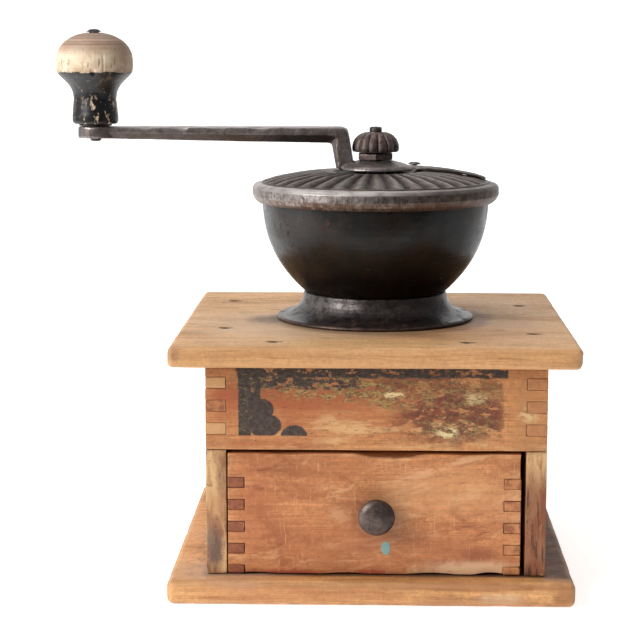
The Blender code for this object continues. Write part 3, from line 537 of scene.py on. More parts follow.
def base_finish():
    wood = Pine("base board pine", "X", (-40.0, -34.0), BOARD_PALE, BOARD_DARK, BOARD_DEEP, ring=4.2,
                waver=14.0)
    wood.scratches(BOARD_DEEP, 0.5)
    x, y, z = wood.place.split()
    # Painted shadow of the box on the board's top, to the right of the box.
    painted_box_shadow = x.ramp(66.0, 76.0) * y.ramp(-84.0, -74.0) * z.ramp(8.0, 10.0)
    wood.stain(painted_box_shadow * wood.clouds(9.0, 5.0, 0.65).ramp(0.2, 0.6, 0.6, 1.0), (74, 46, 34), 0.95)
    # Darker on the board's top along the foot of the box, except at the left end: partly painted contact
    # shade, partly grime.
    box_foot_shade_and_grime = y.ramp(-79.0, -75.0) * z.ramp(9.0, 10.0) * x.ramp(-84.0, -72.0)
    wood.stain(box_foot_shade_and_grime * wood.clouds(5.0).ramp(0.4, 0.6), (110, 72, 50), 0.6)
    # Darker within a few millimetres of the box's walls: partly painted contact shade, partly grime.
    off_side = (x - BOX_MIDDLE).maths("ABSOLUTE") - BOX_HALF[0]
    off_front = y.maths("ABSOLUTE") - BOX_HALF[1]
    off = wood.clouds(5.0) * 5.0 + (off_side | off_front)
    wood.stain(off.ramp(5.4, 2.6) * z.ramp(9.4, 10.2), (70, 44, 34), 0.75)
    edge = y.ramp(-81.5, -83.5)
    streak = wood.clouds(2.2, 6.0, 0.72, wood.place.stretched(0.07, 1, 1))
    wood.stain(edge * streak.ramp(0.53, 0.64), (146, 90, 52), 0.55)
    wood.stain(edge * streak.ramp(0.46, 0.36), (228, 180, 124), 0.4)
    wood.stain(edge * z.ramp(2.2, 0.6) * wood.clouds(6.0).ramp(0.3, 0.6), (96, 68, 62), 0.7)
    wood.spots(((40, -84, 8.8), (44, 4, 1.5), 0.5, 1.3, 6.0, (138, 74, 44), 0.6),
               ((-40, -84, 8.6), (40, 4, 1.2), 0.5, 1.4, 6.0, (158, 96, 56), 0.45),
               ((53, -86, 3.6), (9, 5, 2.6), 0.6, 1.2, 4.0, (228, 196, 156), 0.6),
               ((79, -86, 5), (5, 5, 7), 0.6, 1.2, 4.0, (130, 78, 44), 0.6),
               ((-30, -85, 5), (46, 5, 3.4), 0.5, 1.2, 9.0, (168, 104, 66), 0.5),
               ((46, -85, 2), (30, 5, 3.0), 0.5, 1.2, 7.0, (150, 96, 64), 0.5),
               ((-60, -70, 10.5), (22, 16, 4), 0.6, 1.2, 10.0, (196, 160, 136), 0.5))
    return wood.sealed((206, 158, 112), GRIME, 0.5, 0.0)


low, high = reach_of("base_board")
nail_places = [middle_of(f"base_nail_{n}")[:2] for n in range(1, 5)]
base_board = plank("base_board_wood", low, high, (2.4, 2.4, 1.8), ease=2.9, edge=3.3)
age(base_board, 3, rub=0.22, reach=7, ripple=0.12, size=11.0, stretch=(0.45, 1, 1), gain=8.0)
bitten(base_board, (66, -85, 10.5), (7, 3, 3), (0, 0.9, -0.7))
bitten(base_board, (-22, -85, 10.5), (9, 2.4, 2.4), (0, 0.5, -0.6))
bitten(base_board, (12, -85, 0), (12, 2.4, 2.4), (0, 0.5, 0.5))
bored(base_board, [(at, NAIL_HOLE, -1, high[2] + 1) for at in nail_places])
bored(base_board, [(at, NAIL_SINK, -1, SINK_DEPTH) for at in nail_places])
points = points_of(base_board)
points[:, 2] = np.maximum(points[:, 2], OFF_TABLE)
put_points(base_board, points)
fitted(base_board, "base_board", "mill", base_finish())


# ==== Box: two sides, the rail over the drawer and the back ====
# Thin pine boards finger-jointed at the corners, so the sides' end grain shows in the front and the
# back. The rail still carries scraps of a black and gold transfer with a red-brown ground, no lettering.
GAP = 0.07
WALL = 8.6
FINGER_FIRST = 92.3
FINGER_PITCH = 9.7
FINGER_HALF = 2.35
SIDE_PALE = (196, 146, 98)
SIDE_DARK = (160, 108, 68)
SIDE_DEEP = (96, 58, 38)
RAIL_FOOT = 63.7
LOWEST_FINGER = 68.0
ABOVE_BOX = 102.0
BOX_CELL = (2.0, 2.0, 2.0)


def finger_heights(first, pitch, above):
    heights = []
    while first > above:
        heights.append(first)
        first -= pitch
    return heights[::-1]


def gaps_between(heights, half, low, high):
    ends = [low]
    for height in heights:
        ends += [height - half, height + half]
    ends.append(high)
    return [(a, b) for a, b in zip(ends[::2], ends[1::2]) if b > a]


def sockets(heights, half, low, high, y):
    """Notches at both ends of a cross board, for the fingers of the boards beside it."""
    wall = WALL if half == FINGER_HALF else DRAWER_WALL
    notches = []
    for height in heights:
        z = (height - half - GAP, height + half + GAP)
        notches.append(((low[0] - 1, y[0], z[0]), (low[0] + wall + GAP, y[1], z[1])))
        notches.append(((high[0] - wall - GAP, y[0], z[0]), (high[0] + 1, y[1], z[1])))
    return notches


def nail_hole(node):
    """The upright hole that a nail of the box stands in."""
    low, high = reach_of(node)
    return middle_of(node)[:2], NAIL_HOLE, low[2] - 1, high[2] + 1


def side_finish(name, side, drift):
    wood = Pine(name, "Y", (side * 30.0, 30.0), SIDE_PALE, SIDE_DARK, SIDE_DEEP, ring=3.4, waver=10.0,
                drift=drift)
    wood.scratches(SIDE_DEEP, 0.45)
    _, y, z = wood.place.split()
    front = y.ramp(-71.5, -73.6) * z.ramp(66.0, 62.0)
    fuzz = wood.clouds(5.5, 5.0, 0.7, wood.place.stretched(1, 1, 0.25)).ramp(0.42, 0.62)
    bare = wood.mix(fuzz, (222, 180, 130), (150, 100, 62))
    wood.stain(front, bare, 0.85)
    if side < 0:
        wood.spots(((-67, -74, 24), (3.6, 3, 11), 0.5, 1.3, 5.0, (84, 68, 70), 0.75),
                   ((-64, -74, 50), (1.6, 3, 12), 0.6, 1.4, 4.0, (120, 78, 52), 0.6),
                   ((-66, -74, 38), (4, 3, 9), 0.6, 1.3, 5.0, (176, 118, 72), 0.5))
        check = wood.clouds(2.4, 6.0, 0.75, wood.place.stretched(1.0, 1.0, 0.6)).ramp(0.57, 0.62)
        wood.stain(front * check, (108, 66, 44), 0.6)
        light = z.ramp(87.0, 88.5) | z.ramp(78.5, 77.0)
    else:
        deep = z.ramp(62.0, 44.0) * y.ramp(-71.5, -73.6)
        wood.stain(deep, (128, 68, 40), 0.8)
        crack = wood.clouds(1.6, 5.0, 0.72, wood.place.stretched(1.0, 1.0, 0.12)).ramp(0.54, 0.6)
        wood.stain(deep * crack, (62, 34, 24), 0.8)
        wood.stain(deep * wood.clouds(2.6, 5.0, 0.7, wood.place.stretched(1, 1, 0.3)).ramp(0.6, 0.66),
                   (206, 160, 112), 0.8)
        light = 0.25
    fingers = y.ramp(-71.5, -73.6) * z.ramp(68.0, 70.0)
    ends = wood.mix(wood.clouds(2.2, 4.0, 0.7).ramp(0.35, 0.65), (186, 120, 74), (134, 74, 46)
                    if side < 0 else (164, 102, 62))
    wood.stain(fingers, ends, 0.85)
    wood.stain(fingers * light, (214, 168, 116), 0.7)
    return wood.sealed((206, 166, 126), (96, 58, 38), 0.4, 0.5 if side < 0 else 0.2)


for node, side in (("left_side", -1), ("right_side", 1)):
    low, high = reach_of(node)
    front_gaps = gaps_between(finger_heights(FINGER_FIRST, FINGER_PITCH, LOWEST_FINGER), FINGER_HALF,
                              RAIL_FOOT, ABOVE_BOX)
    back_gaps = gaps_between(finger_heights(FINGER_FIRST, FINGER_PITCH, low[2]), FINGER_HALF, 0, ABOVE_BOX)
    notches = [((low[0] - 1, low[1] - 1, a), (high[0] + 1, low[1] + WALL + GAP, b)) for a, b in front_gaps]
    notches += [((low[0] - 1, high[1] - WALL - GAP, a), (high[0] + 1, high[1] + 1, b)) for a,
                b in back_gaps]
    box_side = plank(node + "_wood", low, high, BOX_CELL, notches, ease=0.22, edge=0.6)
    age(box_side, 11 + side, rub=0.15, reach=2, ripple=0.05, size=9.0, stretch=(1, 0.5, 1))
    holes = [nail_hole(f"top_nail_{n}") for n in range(1, 7)] + [nail_hole(f"base_nail_{n}")
                                                                 for n in range(1, 5)]
    bored(box_side, [hole for hole in holes if low[0] < hole[0][0] < high[0]])
    fitted(box_side, node, "mill", side_finish(node + " pine", side, 7.0 * side))


def rail_finish():
    wood = Pine("rail pine", "X", (-30.0, 132.0), (198, 138, 86), (160, 98, 58), (104, 56, 36), ring=3.0,
                waver=7.0, drift=5.0, figure=0.3, mottle=0.5)
    wood.scratches((110, 66, 44), 0.5)
    x, y, z = wood.place.split()
    front = y.ramp(-72.6, -73.4)
    grain = wood.place.stretched(0.22, 1, 1)
    bitty = wood.place.stretched(0.5, 1, 1)

    def band(at, size, edge=0.5, ragged=1.1, speckle=6.0):
        return wood.spot((at[0], -74, at[1]), (size[0], 4, size[1]), edge, ragged, speckle) * front

    def patch(across, up, edge=1.0, ragged=3.0, speckle=4.0):
        """1 inside a rectangle on the front, with ragged sides."""
        stray = wood.clouds(speckle, 5.0, 0.65) * ragged + -ragged / 2
        side, rise = x + stray, z + stray
        sides = side.ramp(across[0] - edge, across[0] + edge) * side.ramp(across[1] + edge, across[1]
                                                                          - edge)
        return sides * rise.ramp(up[0] - edge, up[0] + edge) * rise.ramp(up[1] + edge, up[1] - edge)

    wood.stain(band((-30, 87), (34, 6), 0.6, 1.0, 7.0), (150, 74, 42), 0.75)
    wood.stain(band((-20, 80), (46, 9), 0.7, 1.2, 11.0), (176, 98, 56), 0.5)
    wood.stain(band((-62, 86), (6, 8), 0.6, 1.0, 4.0), (158, 74, 44), 0.55)
    wood.stain(band((-40, 66.5), (22, 3), 0.6, 1.2, 5.0), (166, 88, 52), 0.5)
    pale = wood.clouds(5.0, 6.0, 0.7, grain).ramp(0.46, 0.62)
    wood.stain(band((2, 73), (38, 7), 0.6, 1.1, 9.0) * pale, (218, 176, 122), 0.75)
    wood.stain(band((8, 65), (60, 3.0), 0.6, 1.1, 9.0) * pale, (216, 172, 120), 0.6)
    wood.stain(band((64, 78), (6, 22), 0.6, 1.1, 9.0), (176, 122, 78), 0.5)

    # Darker along the top of the front, under the top board's overhang: painted shade there, with grime.
    wood.stain(z.ramp(97.6, 99.4) * front, (66, 42, 32), 0.6)
    brown = wood.mix(wood.clouds(1.6, 4.0, 0.7, bitty).ramp(0.35, 0.65), (124, 50, 36), (70, 32, 26))
    ground = band((33, 79), (24, 11), 0.35, 1.2, 8.0) | band((10, 88), (18, 5), 0.5, 1.2, 6.0) * 0.6
    ground = ground | band((30, 92), (34, 5), 0.5, 1.2, 6.0) * 0.8
    ragged_x = wood.clouds(2.4) * 5.0 + x
    side_end = ragged_x.ramp(56.6, 55.0)
    ground = ground * side_end
    torn = wood.clouds(4.4, 7.0, 0.76, bitty).ramp(0.42, 0.48)
    wood.stain(ground * torn, brown, 0.9)

    olive = wood.mix(wood.clouds(0.9, 4.0, 0.7, bitty).ramp(0.38, 0.62), (178, 150, 88), (78, 66, 44))
    gold = band((-16, 90), (30, 5.4), 0.4, 1.2, 5.0) | band((10, 85), (13, 3.6), 0.5, 1.3, 4.0)
    gold = gold | band((35, 74), (19, 5.6), 0.5, 1.3, 5.0) * 0.55
    gold = gold | band((34, 88), (26, 7), 0.6, 1.2, 6.0) * 0.6
    gold = gold | band((-44, 92), (14, 5.4), 0.4, 1.2, 4.0) * 0.8
    gold = gold * side_end
    fleck = wood.clouds(2.1, 6.0, 0.78, bitty).ramp(0.475, 0.525)
    wood.stain(gold * fleck, olive, 0.88)

    cream = band((8, 87.5), (5, 1.2), 0.5, 1.5, 3.0) | band((30.5, 71.6), (4.6, 2.2), 0.4, 1.3, 3.0)
    cream = cream | band((41, 86), (5, 2.0), 0.6, 1.5, 3.0) * 0.6
    cream = cream | band((64, 80), (4, 3.4), 0.6, 1.5, 3.5) * 0.6
    bits = wood.clouds(1.7, 6.0, 0.76, bitty).ramp(0.47, 0.52)
    wood.stain(cream * bits, (232, 210, 156), 0.9)

    bar = patch((-56.5, -51.2), (70.0, 99.0), 0.25, 1.0, 2.4)
    top = patch((-57.0, 55.0), (94.6, 101.0), 0.5, 3.4, 5.0)
    hang = patch((-56.0, -6.0), (89.8, 96.0), 0.6, 5.0, 6.0)
    hang = hang * wood.clouds(2.8, 7.0, 0.78, bitty).ramp(0.45, 0.5)
    corner = patch((-56.0, -47.0), (84.0, 96.0), 0.5, 3.0, 4.0)
    low_bits = band((24, 73.4), (4.4, 3.6), 0.3, 0.9, 3.0) | band((40, 78), (14, 9), 0.6, 1.2, 5.0) * 0.5
    lobes = ((-47.2, 81.0, 5.4, 4.8), (-45.6, 74.4, 7.0, 5.0), (-33.3, 70.0, 5.4, 4.6))
    scallops = 0.0
    for x_at, z_at, wide, tall in lobes:
        scallops = scallops | wood.spot((x_at, -74, z_at), (wide, 3, tall), 0.07, 0.25, 2.0)
    scallops = scallops * z.ramp(69.8, 70.3)
    kept = wood.clouds(2.2, 6.0, 0.75, bitty).ramp(0.585, 0.54)
    solid = wood.clouds(1.8, 6.0, 0.75).ramp(0.7, 0.63)
    black = (top | corner) * kept
    black = black | (bar | scallops) * solid | hang
    scraps = wood.clouds(2.0, 6.0, 0.78, bitty).ramp(0.565, 0.6)
    black = black | (low_bits | gold * 0.7) * scraps
    strays = patch((-56.0, 53.0), (66.0, 99.0), 2.0, 4.0) * wood.clouds(0.9, 3.0, 0.7, grain).ramp(0.63,
                                                                                                   0.68)
    black = black | strays * 0.7
    soot = wood.mix(wood.clouds(2.0).ramp(0.4, 0.68), (34, 32, 33), (74, 66, 60))
    wood.stain(black * front, soot, 0.95)
    glint = (gold | bar * 0.5) * wood.clouds(1.3, 5.0, 0.8, bitty).ramp(0.56, 0.6)
    wood.stain(glint * front, (158, 138, 86), 0.6)
    wood.height = black * front * 0.5 + wood.height
    return wood.sealed((196, 140, 94), (96, 56, 36), 0.3, 0.35)


low, high = reach_of("front_rail")
heights = finger_heights(FINGER_FIRST, FINGER_PITCH, LOWEST_FINGER)
front_rail = plank("front_rail_wood", low, high, (2.0, 2.0, 1.6),
                   sockets(heights, FINGER_HALF, low, high, (low[1] - 1, high[1] + 1)), ease=0.22, edge=0.6)
age(front_rail, 17, rub=0.15, reach=2, ripple=0.05, size=8.0, stretch=(0.4, 1, 1))
bored(front_rail, [nail_hole(f"top_nail_{number}") for number in (5, 6)])
fitted(front_rail, "front_rail", "mill", rail_finish())


def back_finish():
    wood = Pine("back board pine", "X", (10.0, 150.0), (196, 146, 104), (166, 114, 76), SIDE_DEEP, ring=3.6,
                waver=12.0, drift=3.0)
    wood.scratches(SIDE_DEEP, 0.5)
    wood.spots(((-20, 74, 40), (40, 4, 22), 0.7, 1.2, 20.0, (132, 86, 58), 0.45),
               ((50, 74, 88), (24, 4, 14), 0.6, 1.2, 12.0, (92, 62, 46), 0.45))
    return wood.sealed((206, 166, 126), GRIME)


low, high = reach_of("back_board")
heights = finger_heights(FINGER_FIRST, FINGER_PITCH, low[2])
back_board = plank("back_board_wood", low, high, (2.4, 2.0, 2.0),
                   sockets(heights, FINGER_HALF, low, high, (low[1] - 1, high[1] + 1)), ease=0.35, edge=0.7)
age(back_board, 19, rub=0.22, reach=2, ripple=0.05, size=9.0, stretch=(0.4, 1, 1))
fitted(back_board, "back_board", "mill", back_finish())


# ==== Top board ====
# A pine board as wide as the base, nailed down into the box with the hopper screwed to its middle.
# Its grain runs across the front; it has worn pale, with rust stains round the nails. A painted
# highlight lightens its left and painted shade darkens its right.
SCREW_HOLE = 2.4
FOOT_BORE = 24.0


def top_finish(nails):
    wood = Pine("top board pine", "X", (60.0, 58.0), (218, 170, 118), (184, 132, 84), (128, 82, 50),
                ring=4.6, waver=16.0, drift=9.0, figure=0.3)
    wood.scratches((130, 88, 60), 0.5)
    edge = wood.place.split()[1].ramp(-81.5, -83.5)
    streak = wood.clouds(2.2, 6.0, 0.72, wood.place.stretched(0.07, 1, 1))
    wood.stain(edge, (206, 146, 90), 0.4)
    wood.stain(edge * streak.ramp(0.54, 0.66), (150, 92, 52), 0.5)
    wood.stain(edge * streak.ramp(0.46, 0.36), (226, 174, 114), 0.4)
    # Of these spots, the pale one left of the middle is a painted highlight and the browner one on the right
    # is painted shade, as the window light falls from the left.
    wood.spots(((-83, -83, 106), (3.4, 4, 3), 0.6, 1.2, 2.0, (112, 74, 54), 0.6),
               ((-34, -30, 109), (38, 32, 3), 0.7, 1.1, 22.0, (218, 188, 158), 0.5),
               ((52, -40, 109), (26, 34, 3), 0.7, 1.1, 18.0, (186, 134, 90), 0.5),
               ((3, -3, 109), (49, 49, 3), 0.07, 0.16, 8.0, (104, 70, 50), 0.5),
               ((-47, -8, 109), (9, 12, 3), 0.5, 1.3, 3.0, (70, 50, 42), 0.6),
               ((20, -52, 109), (12, 5, 3), 0.6, 1.0, 7.0, (150, 106, 76), 0.5))
    for x, y in nails:
        wood.stain(wood.spot((x + 0.8, y, 109), (3.0, 1.9, 3), 0.5, 0.9, 1.8), (74, 46, 36), 0.75)
    for x, y, width in ((-46, 22, 1.6), (-32, -20, 2.6), (54, -38, 2.2), (28, -74, 1.3), (-20, -60, 1.4)):
        wood.stain(wood.spot((x, y, 109), (width * 1.5, width * 0.5, 2), 0.6, 0.9, 2.0), (84, 56, 42), 0.6)
    return wood.sealed((212, 164, 116), GRIME, 0.45, 0.0)


low, high = reach_of("top_board")
top_nails = [middle_of(f"top_nail_{n}")[:2] for n in range(1, 7)]
mill_screws = [middle_of(f"mill_screw_{n}")[:2] for n in range(1, 4)]
top_board = plank("top_board_wood", low, high, (2.3, 2.3, 1.6), ease=2.5, edge=2.9)
age(top_board, 23, rub=0.2, reach=7, ripple=0.1, size=11.0, stretch=(0.45, 1, 1), gain=8.0)
bitten(top_board, (-60, -85, 100), (8, 3, 3), (0, 0.5, 0.6))
bitten(top_board, (34, -85, 109), (12, 3, 3), (0, 0.5, -0.5))
bitten(top_board, (85, -85, 103), (4, 4, 5), (-0.7, 0.7, 0))
through = [(at, NAIL_HOLE) for at in top_nails] + [(at, SCREW_HOLE)
                                                   for at in mill_screws] + [((0, 0), FOOT_BORE)]
bored(top_board, [(at, radius, low[2] - 1, high[2] + 1) for at, radius in through], steps=48)
bored(top_board, [(at, NAIL_SINK, high[2] - SINK_DEPTH, high[2] + 1) for at in top_nails])
fitted(top_board, "top_board", "mill", top_finish(top_nails))


# ==== Nails of the box ====
# Round wire nails with flat heads, driven flush; the heads have rusted brown-black and pitted.
def eased(profile, radius):
    """Rounds the corners of a profile of (radius, height) points; it closes unless it starts on the axis."""
    ring = profile[0][0] > 0
    rounded = []
    for i, here in enumerate(profile):
        if not ring and i in (0, len(profile) - 1):
            rounded.append(here)
            continue
        here = np.array(here)
        before = np.array(profile[i - 1]) - here
        after = np.array(profile[(i + 1) % len(profile)]) - here
        back = min(radius, 0.42 * np.linalg.norm(before))
        on = min(radius, 0.42 * np.linalg.norm(after))
        start = here + before / np.linalg.norm(before) * back
        end = here + after / np.linalg.norm(after) * on
        for t in (0.0, 0.33, 0.67, 1.0):
            rounded.append(tuple((1 - t) ** 2 * start + 2 * t * (1 - t) * here + t * t * end))
    return rounded


def turned(name, profile, steps, cell=1.2, ease=0.3, shape=None, at=(0, 0, 0), axis="Z"):
    """A piece turned on an axis; shape may change the radii and heights by angle."""
    ring = profile[0][0] > 0
    outline = eased(profile, ease)
    if ring:
        outline = outline + outline[:1]
    rows = []
    for (r0, z0), (r1, z1) in zip(outline, outline[1:]):
        count = max(1, math.ceil(math.hypot(r1 - r0, z1 - z0) / cell))
        rows += [(r0 + (r1 - r0) * i / count, z0 + (z1 - z0) * i / count) for i in range(count)]
    if not ring:
        rows.append(outline[-1])
    radii, heights = np.array(rows).T
    angles = np.arange(steps) * 2 * math.pi / steps
    radii, heights = np.repeat(radii[:, None], steps, 1), np.repeat(heights[:, None], steps, 1)
    if shape:
        radii, heights = shape(radii, heights, np.repeat(angles[None], len(rows), 0))
    points = np.stack([radii * np.cos(angles), radii * np.sin(angles), heights], -1)
    faces = []
    numbers = np.arange(len(rows) * steps).reshape(len(rows), steps)
    if not ring:
        numbers[0] = numbers[0, 0]
        numbers[-1] = numbers[-1, 0]
    for i in range(len(rows) if ring else len(rows) - 1):
        here, there = numbers[i], numbers[(i + 1) % len(rows)]
        for a, b, c, d in zip(here, np.roll(here, -1), np.roll(there, -1), there):
            faces.append(list(dict.fromkeys((int(a), int(b), int(c), int(d)))))
    points = points.reshape(-1, 3)
    used, faces_at = np.unique(np.concatenate([np.array(f) for f in faces]), return_inverse=True)
    order = iter(faces_at.tolist())
    faces = [[next(order) for _ in face] for face in faces]
    points = points[used]
    if axis == "X":
        points = points[:, [2, 0, 1]]
    if axis == "-X":
        points = points[:, [2, 1, 0]] * (-1, 1, 1)
    if axis == "-Y":
        points = points[:, [0, 2, 1]] * (1, -1, 1)
    if axis == "-Z":
        points = points * (1, -1, -1)
    return new_piece(name, points + np.array(at), faces)


SOOT = (22, 18, 16)


class Iron(Finish):
    """Old iron: a dark skin with pits, rust in the hollows and bare metal where it is rubbed."""

    def __init__(self, name, skin, second, rust, bright, rusty=(0.56, 0.70), rub=(0.15, 0.6)):
        super().__init__(name)
        self.fine = self.clouds(0.9, 3.0, 0.6)
        self.colour = self.mix(self.clouds(4.0, 5.0, 0.65).ramp(0.35, 0.66), skin, second)
        self.shaded(self.fine.ramp(0.3, 0.7, 0.78, 1.18))
        self.bare = (self.clouds(1.6, 4.0, 0.7) * 0.5 + (self.worn - 0.25)).ramp(*rub)
        patch = self.clouds(7.0, 6.0, 0.7) + self.crease * 0.3
        self.rusted = patch.ramp(*rusty) * (1.0 - self.bare * 0.7)
        brown = self.mix(self.clouds(0.7, 3.0, 0.7).ramp(0.35, 0.65), rust, Color(tone(*rust)) * 0.45)
        self.stain(self.rusted, brown, 0.8)
        self.stain(self.bare, bright)
        self.pits = self.clouds(0.8, 2.0, 0.6).ramp(0.6, 0.74)

    def cast(self, rough, depth=0.12, metal=0.8, soot=0.75, **others):
        """The shader: rough is (bare, skin, rusted)."""
        self.stain(self.pits, GRIME, 0.45)
        self.stain(self.crease.ramp(0.08, 0.5), SOOT, soot)
        sheen = self.bare.ramp(0.0, 1.0, rough[1], rough[0])
        sheen = self.rusted * (rough[2] - rough[1]) + sheen
        sheen = self.pits * 0.1 + sheen
        height = self.fine * 0.5 - self.pits
        height = self.rusted * 0.3 + height
        relief = self.relief(height, depth, 0.8)
        relief = self.relief(self.clouds(3.0, 3.0, 0.55), depth * 2.5, 0.4, relief)
        shine = self.rusted * (-0.6 * metal) + metal
        return self.done(self.colour, sheen, relief, shine, **others)


NAIL_FINISH = Iron("nail iron", (66, 50, 44), (50, 38, 34), (96, 54, 34), (112, 98, 90),
                   rusty=(0.42, 0.6)).cast((0.4, 0.6, 0.9), 0.15, 0.6)


def nail_profile(length):
    return [(0, 0.04), (1.2, 0.0), (1.8, -0.12), (1.8, -0.6), (0.9, -0.6), (0.9, 1.5 - length),
            (0, -length)]


def driven(node, body, length, at, axis):
    nail = turned(node + "_iron", nail_profile(length), 20, 1.5, 0.12, at=at, axis=axis)
    age(nail, 29 + len(node), rub=0.05, reach=1, ripple=0.03, size=1.5)
    fitted(nail, node, body, NAIL_FINISH)


for kind, count, axis in (("top_nail", 6, "Z"), ("base_nail", 4, "-Z")):
    for number in range(1, count + 1):
        low, high = reach_of(f"{kind}_{number}")
        x, y, _ = (low + high) / 2
        driven(f"{kind}_{number}", "mill", high[2] - low[2], (x, y, high[2] if axis == "Z" else low[2]),
               axis)


# ==== Drawer ====
# A finger-jointed pine box that slides on the base board. Its front is one board with a wavy grain,
# darkened round the pull; the sides' end grain shows as dark fingers, and its top edge is broken.
DRAWER_WALL = 7.0
DRAWER_FIRST = 50.0
DRAWER_PITCH = 9.45
DRAWER_HALF = 2.2
PANEL = (14.0, 17.0)
GROOVE = 2.8
FRONT_THICK = 8.0


def drawer_front_finish(pull):
    wood = Pine("drawer front pine", "X", (-40.0, 88.0), (200, 134, 84), (164, 98, 56), (116, 62, 38),
                ring=4.4, waver=26.0, drift=14.0, figure=0.35, mottle=0.85)
    wood.scratches((110, 62, 40), 0.6, 0.5)
    x, y, z = wood.place.split()
    front = y.ramp(-72.6, -73.4)
    slant = wood.joined((z * 0.9 + x) * 0.25, y, x * -0.25 + z)
    veil = wood.clouds(9.0, 6.0, 0.7, slant, 0.6)
    wood.stain(veil.ramp(0.53, 0.66) * front, (146, 80, 46), 0.65)
    wood.stain(veil.ramp(0.47, 0.35) * front, (224, 172, 124), 0.65)
    fog = wood.clouds(20.0, 6.0, 0.72, slant, 1.0)
    wood.stain(fog.ramp(0.52, 0.62) * front, (166, 98, 58), 0.45)
    wood.stain(fog.ramp(0.47, 0.38) * x.ramp(-10.0, 20.0) * front, (226, 178, 134), 0.5)
    wood.stain(wood.spot((pull[0] - 2, -74, pull[1] - 2), (15, 4, 12), 0.9, 1.1, 7.0), (140, 80, 48), 0.4)
    wood.stain(wood.spot((pull[0] + 1, -74, pull[1] - 4), (9, 4, 9), 0.7, 0.7, 4.0), (104, 62, 40), 0.45)
    wood.spots(((-22, -74, 24), (22, 4, 9), 0.8, 1.2, 10.0, (160, 92, 54), 0.45),
               ((34, -74, 46), (24, 4, 9), 0.8, 1.2, 9.0, (212, 156, 106), 0.5),
               ((-50, -74, 40), (8, 4, 22), 0.8, 1.2, 8.0, (166, 92, 56), 0.5),
               ((36, -74, 16), (30, 4, 6), 0.8, 1.2, 7.0, (176, 108, 66), 0.5),
               ((-36, -74, 11.4), (13, 4, 1.5), 0.5, 1.4, 2.6, (150, 44, 30), 0.7),
               ((-2, -74, 11.4), (9, 4, 1.3), 0.5, 1.5, 2.6, (150, 44, 30), 0.6),
               ((7, -74, 61.6), (12, 4, 1.0), 0.4, 1.0, 3.0, (96, 56, 36), 0.7),
               ((42, -74, 13), (22, 4, 3.8), 0.5, 1.4, 4.0, (222, 184, 146), 0.75),
               ((44, -74, 20), (7, 4, 3.0), 0.6, 1.4, 4.0, (140, 72, 46), 0.6))
    mark = wood.clouds(2.6, 6.0, 0.75, slant.stretched(0.5, 1.0, 1.0)).ramp(0.6, 0.66)
    wood.stain(mark * veil.ramp(0.44, 0.6, 0.25, 1.0) * front, (120, 62, 38), 0.6)
    worn = wood.clouds(0.8, 3.0, 0.7, wood.joined(x, y, z * 0.06)).ramp(0.62, 0.7)
    wood.stain(worn * front, (228, 178, 130), 0.35)
    drop = wood.spot((5.0, -74, 22.2), (1.9, 3, 2.9), 0.1, 0.35, 1.5) * front
    wood.stain(drop, (116, 160, 156), 0.9)
    wood.height = drop * 1.2 + wood.height
    return wood.sealed((212, 152, 100), (110, 62, 38), 0.4, 0.3)


low, high = reach_of("drawer_front")
pull_x, _, pull_z = middle_of("drawer_knob")
heights = finger_heights(DRAWER_FIRST, DRAWER_PITCH, low[2])
notches = sockets(heights, DRAWER_HALF, low, high, (low[1] - 1, high[1] + 1))
drawer_front = plank("drawer_front_wood", low, high, (1.8, 2.0, 1.6), notches, ease=0.25, edge=0.6)
age(drawer_front, 37, rub=0.2, reach=2, ripple=0.07, size=9.0, stretch=(0.4, 1, 1))
for x, width, depth in ((-2, 6, 0.8), (5, 8, 1.3), (12, 5, 1.2), (17, 5, 0.5), (40, 9, 0.35),
                        (-38, 10, 0.3)):
    bitten(drawer_front, (x, -74, 62.5), (width, 7, 3.4), (0, 0.25, -depth))
for x, width, depth in ((-12, 9, 0.45), (24, 10, 0.5), (49, 7, 0.9), (-50, 8, 0.4)):
    bitten(drawer_front, (x, -74, 11), (width, 3, 3), (0, 0.35, depth))
bitten(drawer_front, (61.2, -74, 57), (2.4, 4, 7), (-0.5, 0.3, 0))
bitten(drawer_front, (61.2, -74, 11), (3.0, 3, 4), (-0.6, 0.8, 0.5))
bored(drawer_front, [((pull_x, pull_z), 2.1, low[1] - 1, high[1] + 1)], "Y")
fitted(drawer_front, "drawer_front", "drawer", drawer_front_finish((pull_x, pull_z)))


def drawer_side_finish(name, side, drift):
    wood = Pine(name, "Y", (side * 20.0, 60.0), (206, 158, 114), (176, 124, 82), (112, 72, 48), ring=3.0,
                waver=8.0, drift=drift)
    wood.scratches(SIDE_DEEP, 0.4)
    y = wood.place.split()[1]
    front = y.ramp(-71.5, -73.6)
    if side < 0:
        ends = wood.mix(wood.clouds(1.6, 4.0, 0.7).ramp(0.35, 0.65), (158, 84, 50), (112, 56, 38))
        wood.stain(front, ends, 0.85)
    else:
        torn = wood.clouds(3.4).ramp(0.42, 0.62)
        ends = wood.mix(torn, (196, 130, 82), (142, 80, 48))
        wood.stain(front, ends, 0.85)
    return wood.sealed((186, 124, 78), (110, 62, 38), 0.3, 0.3)


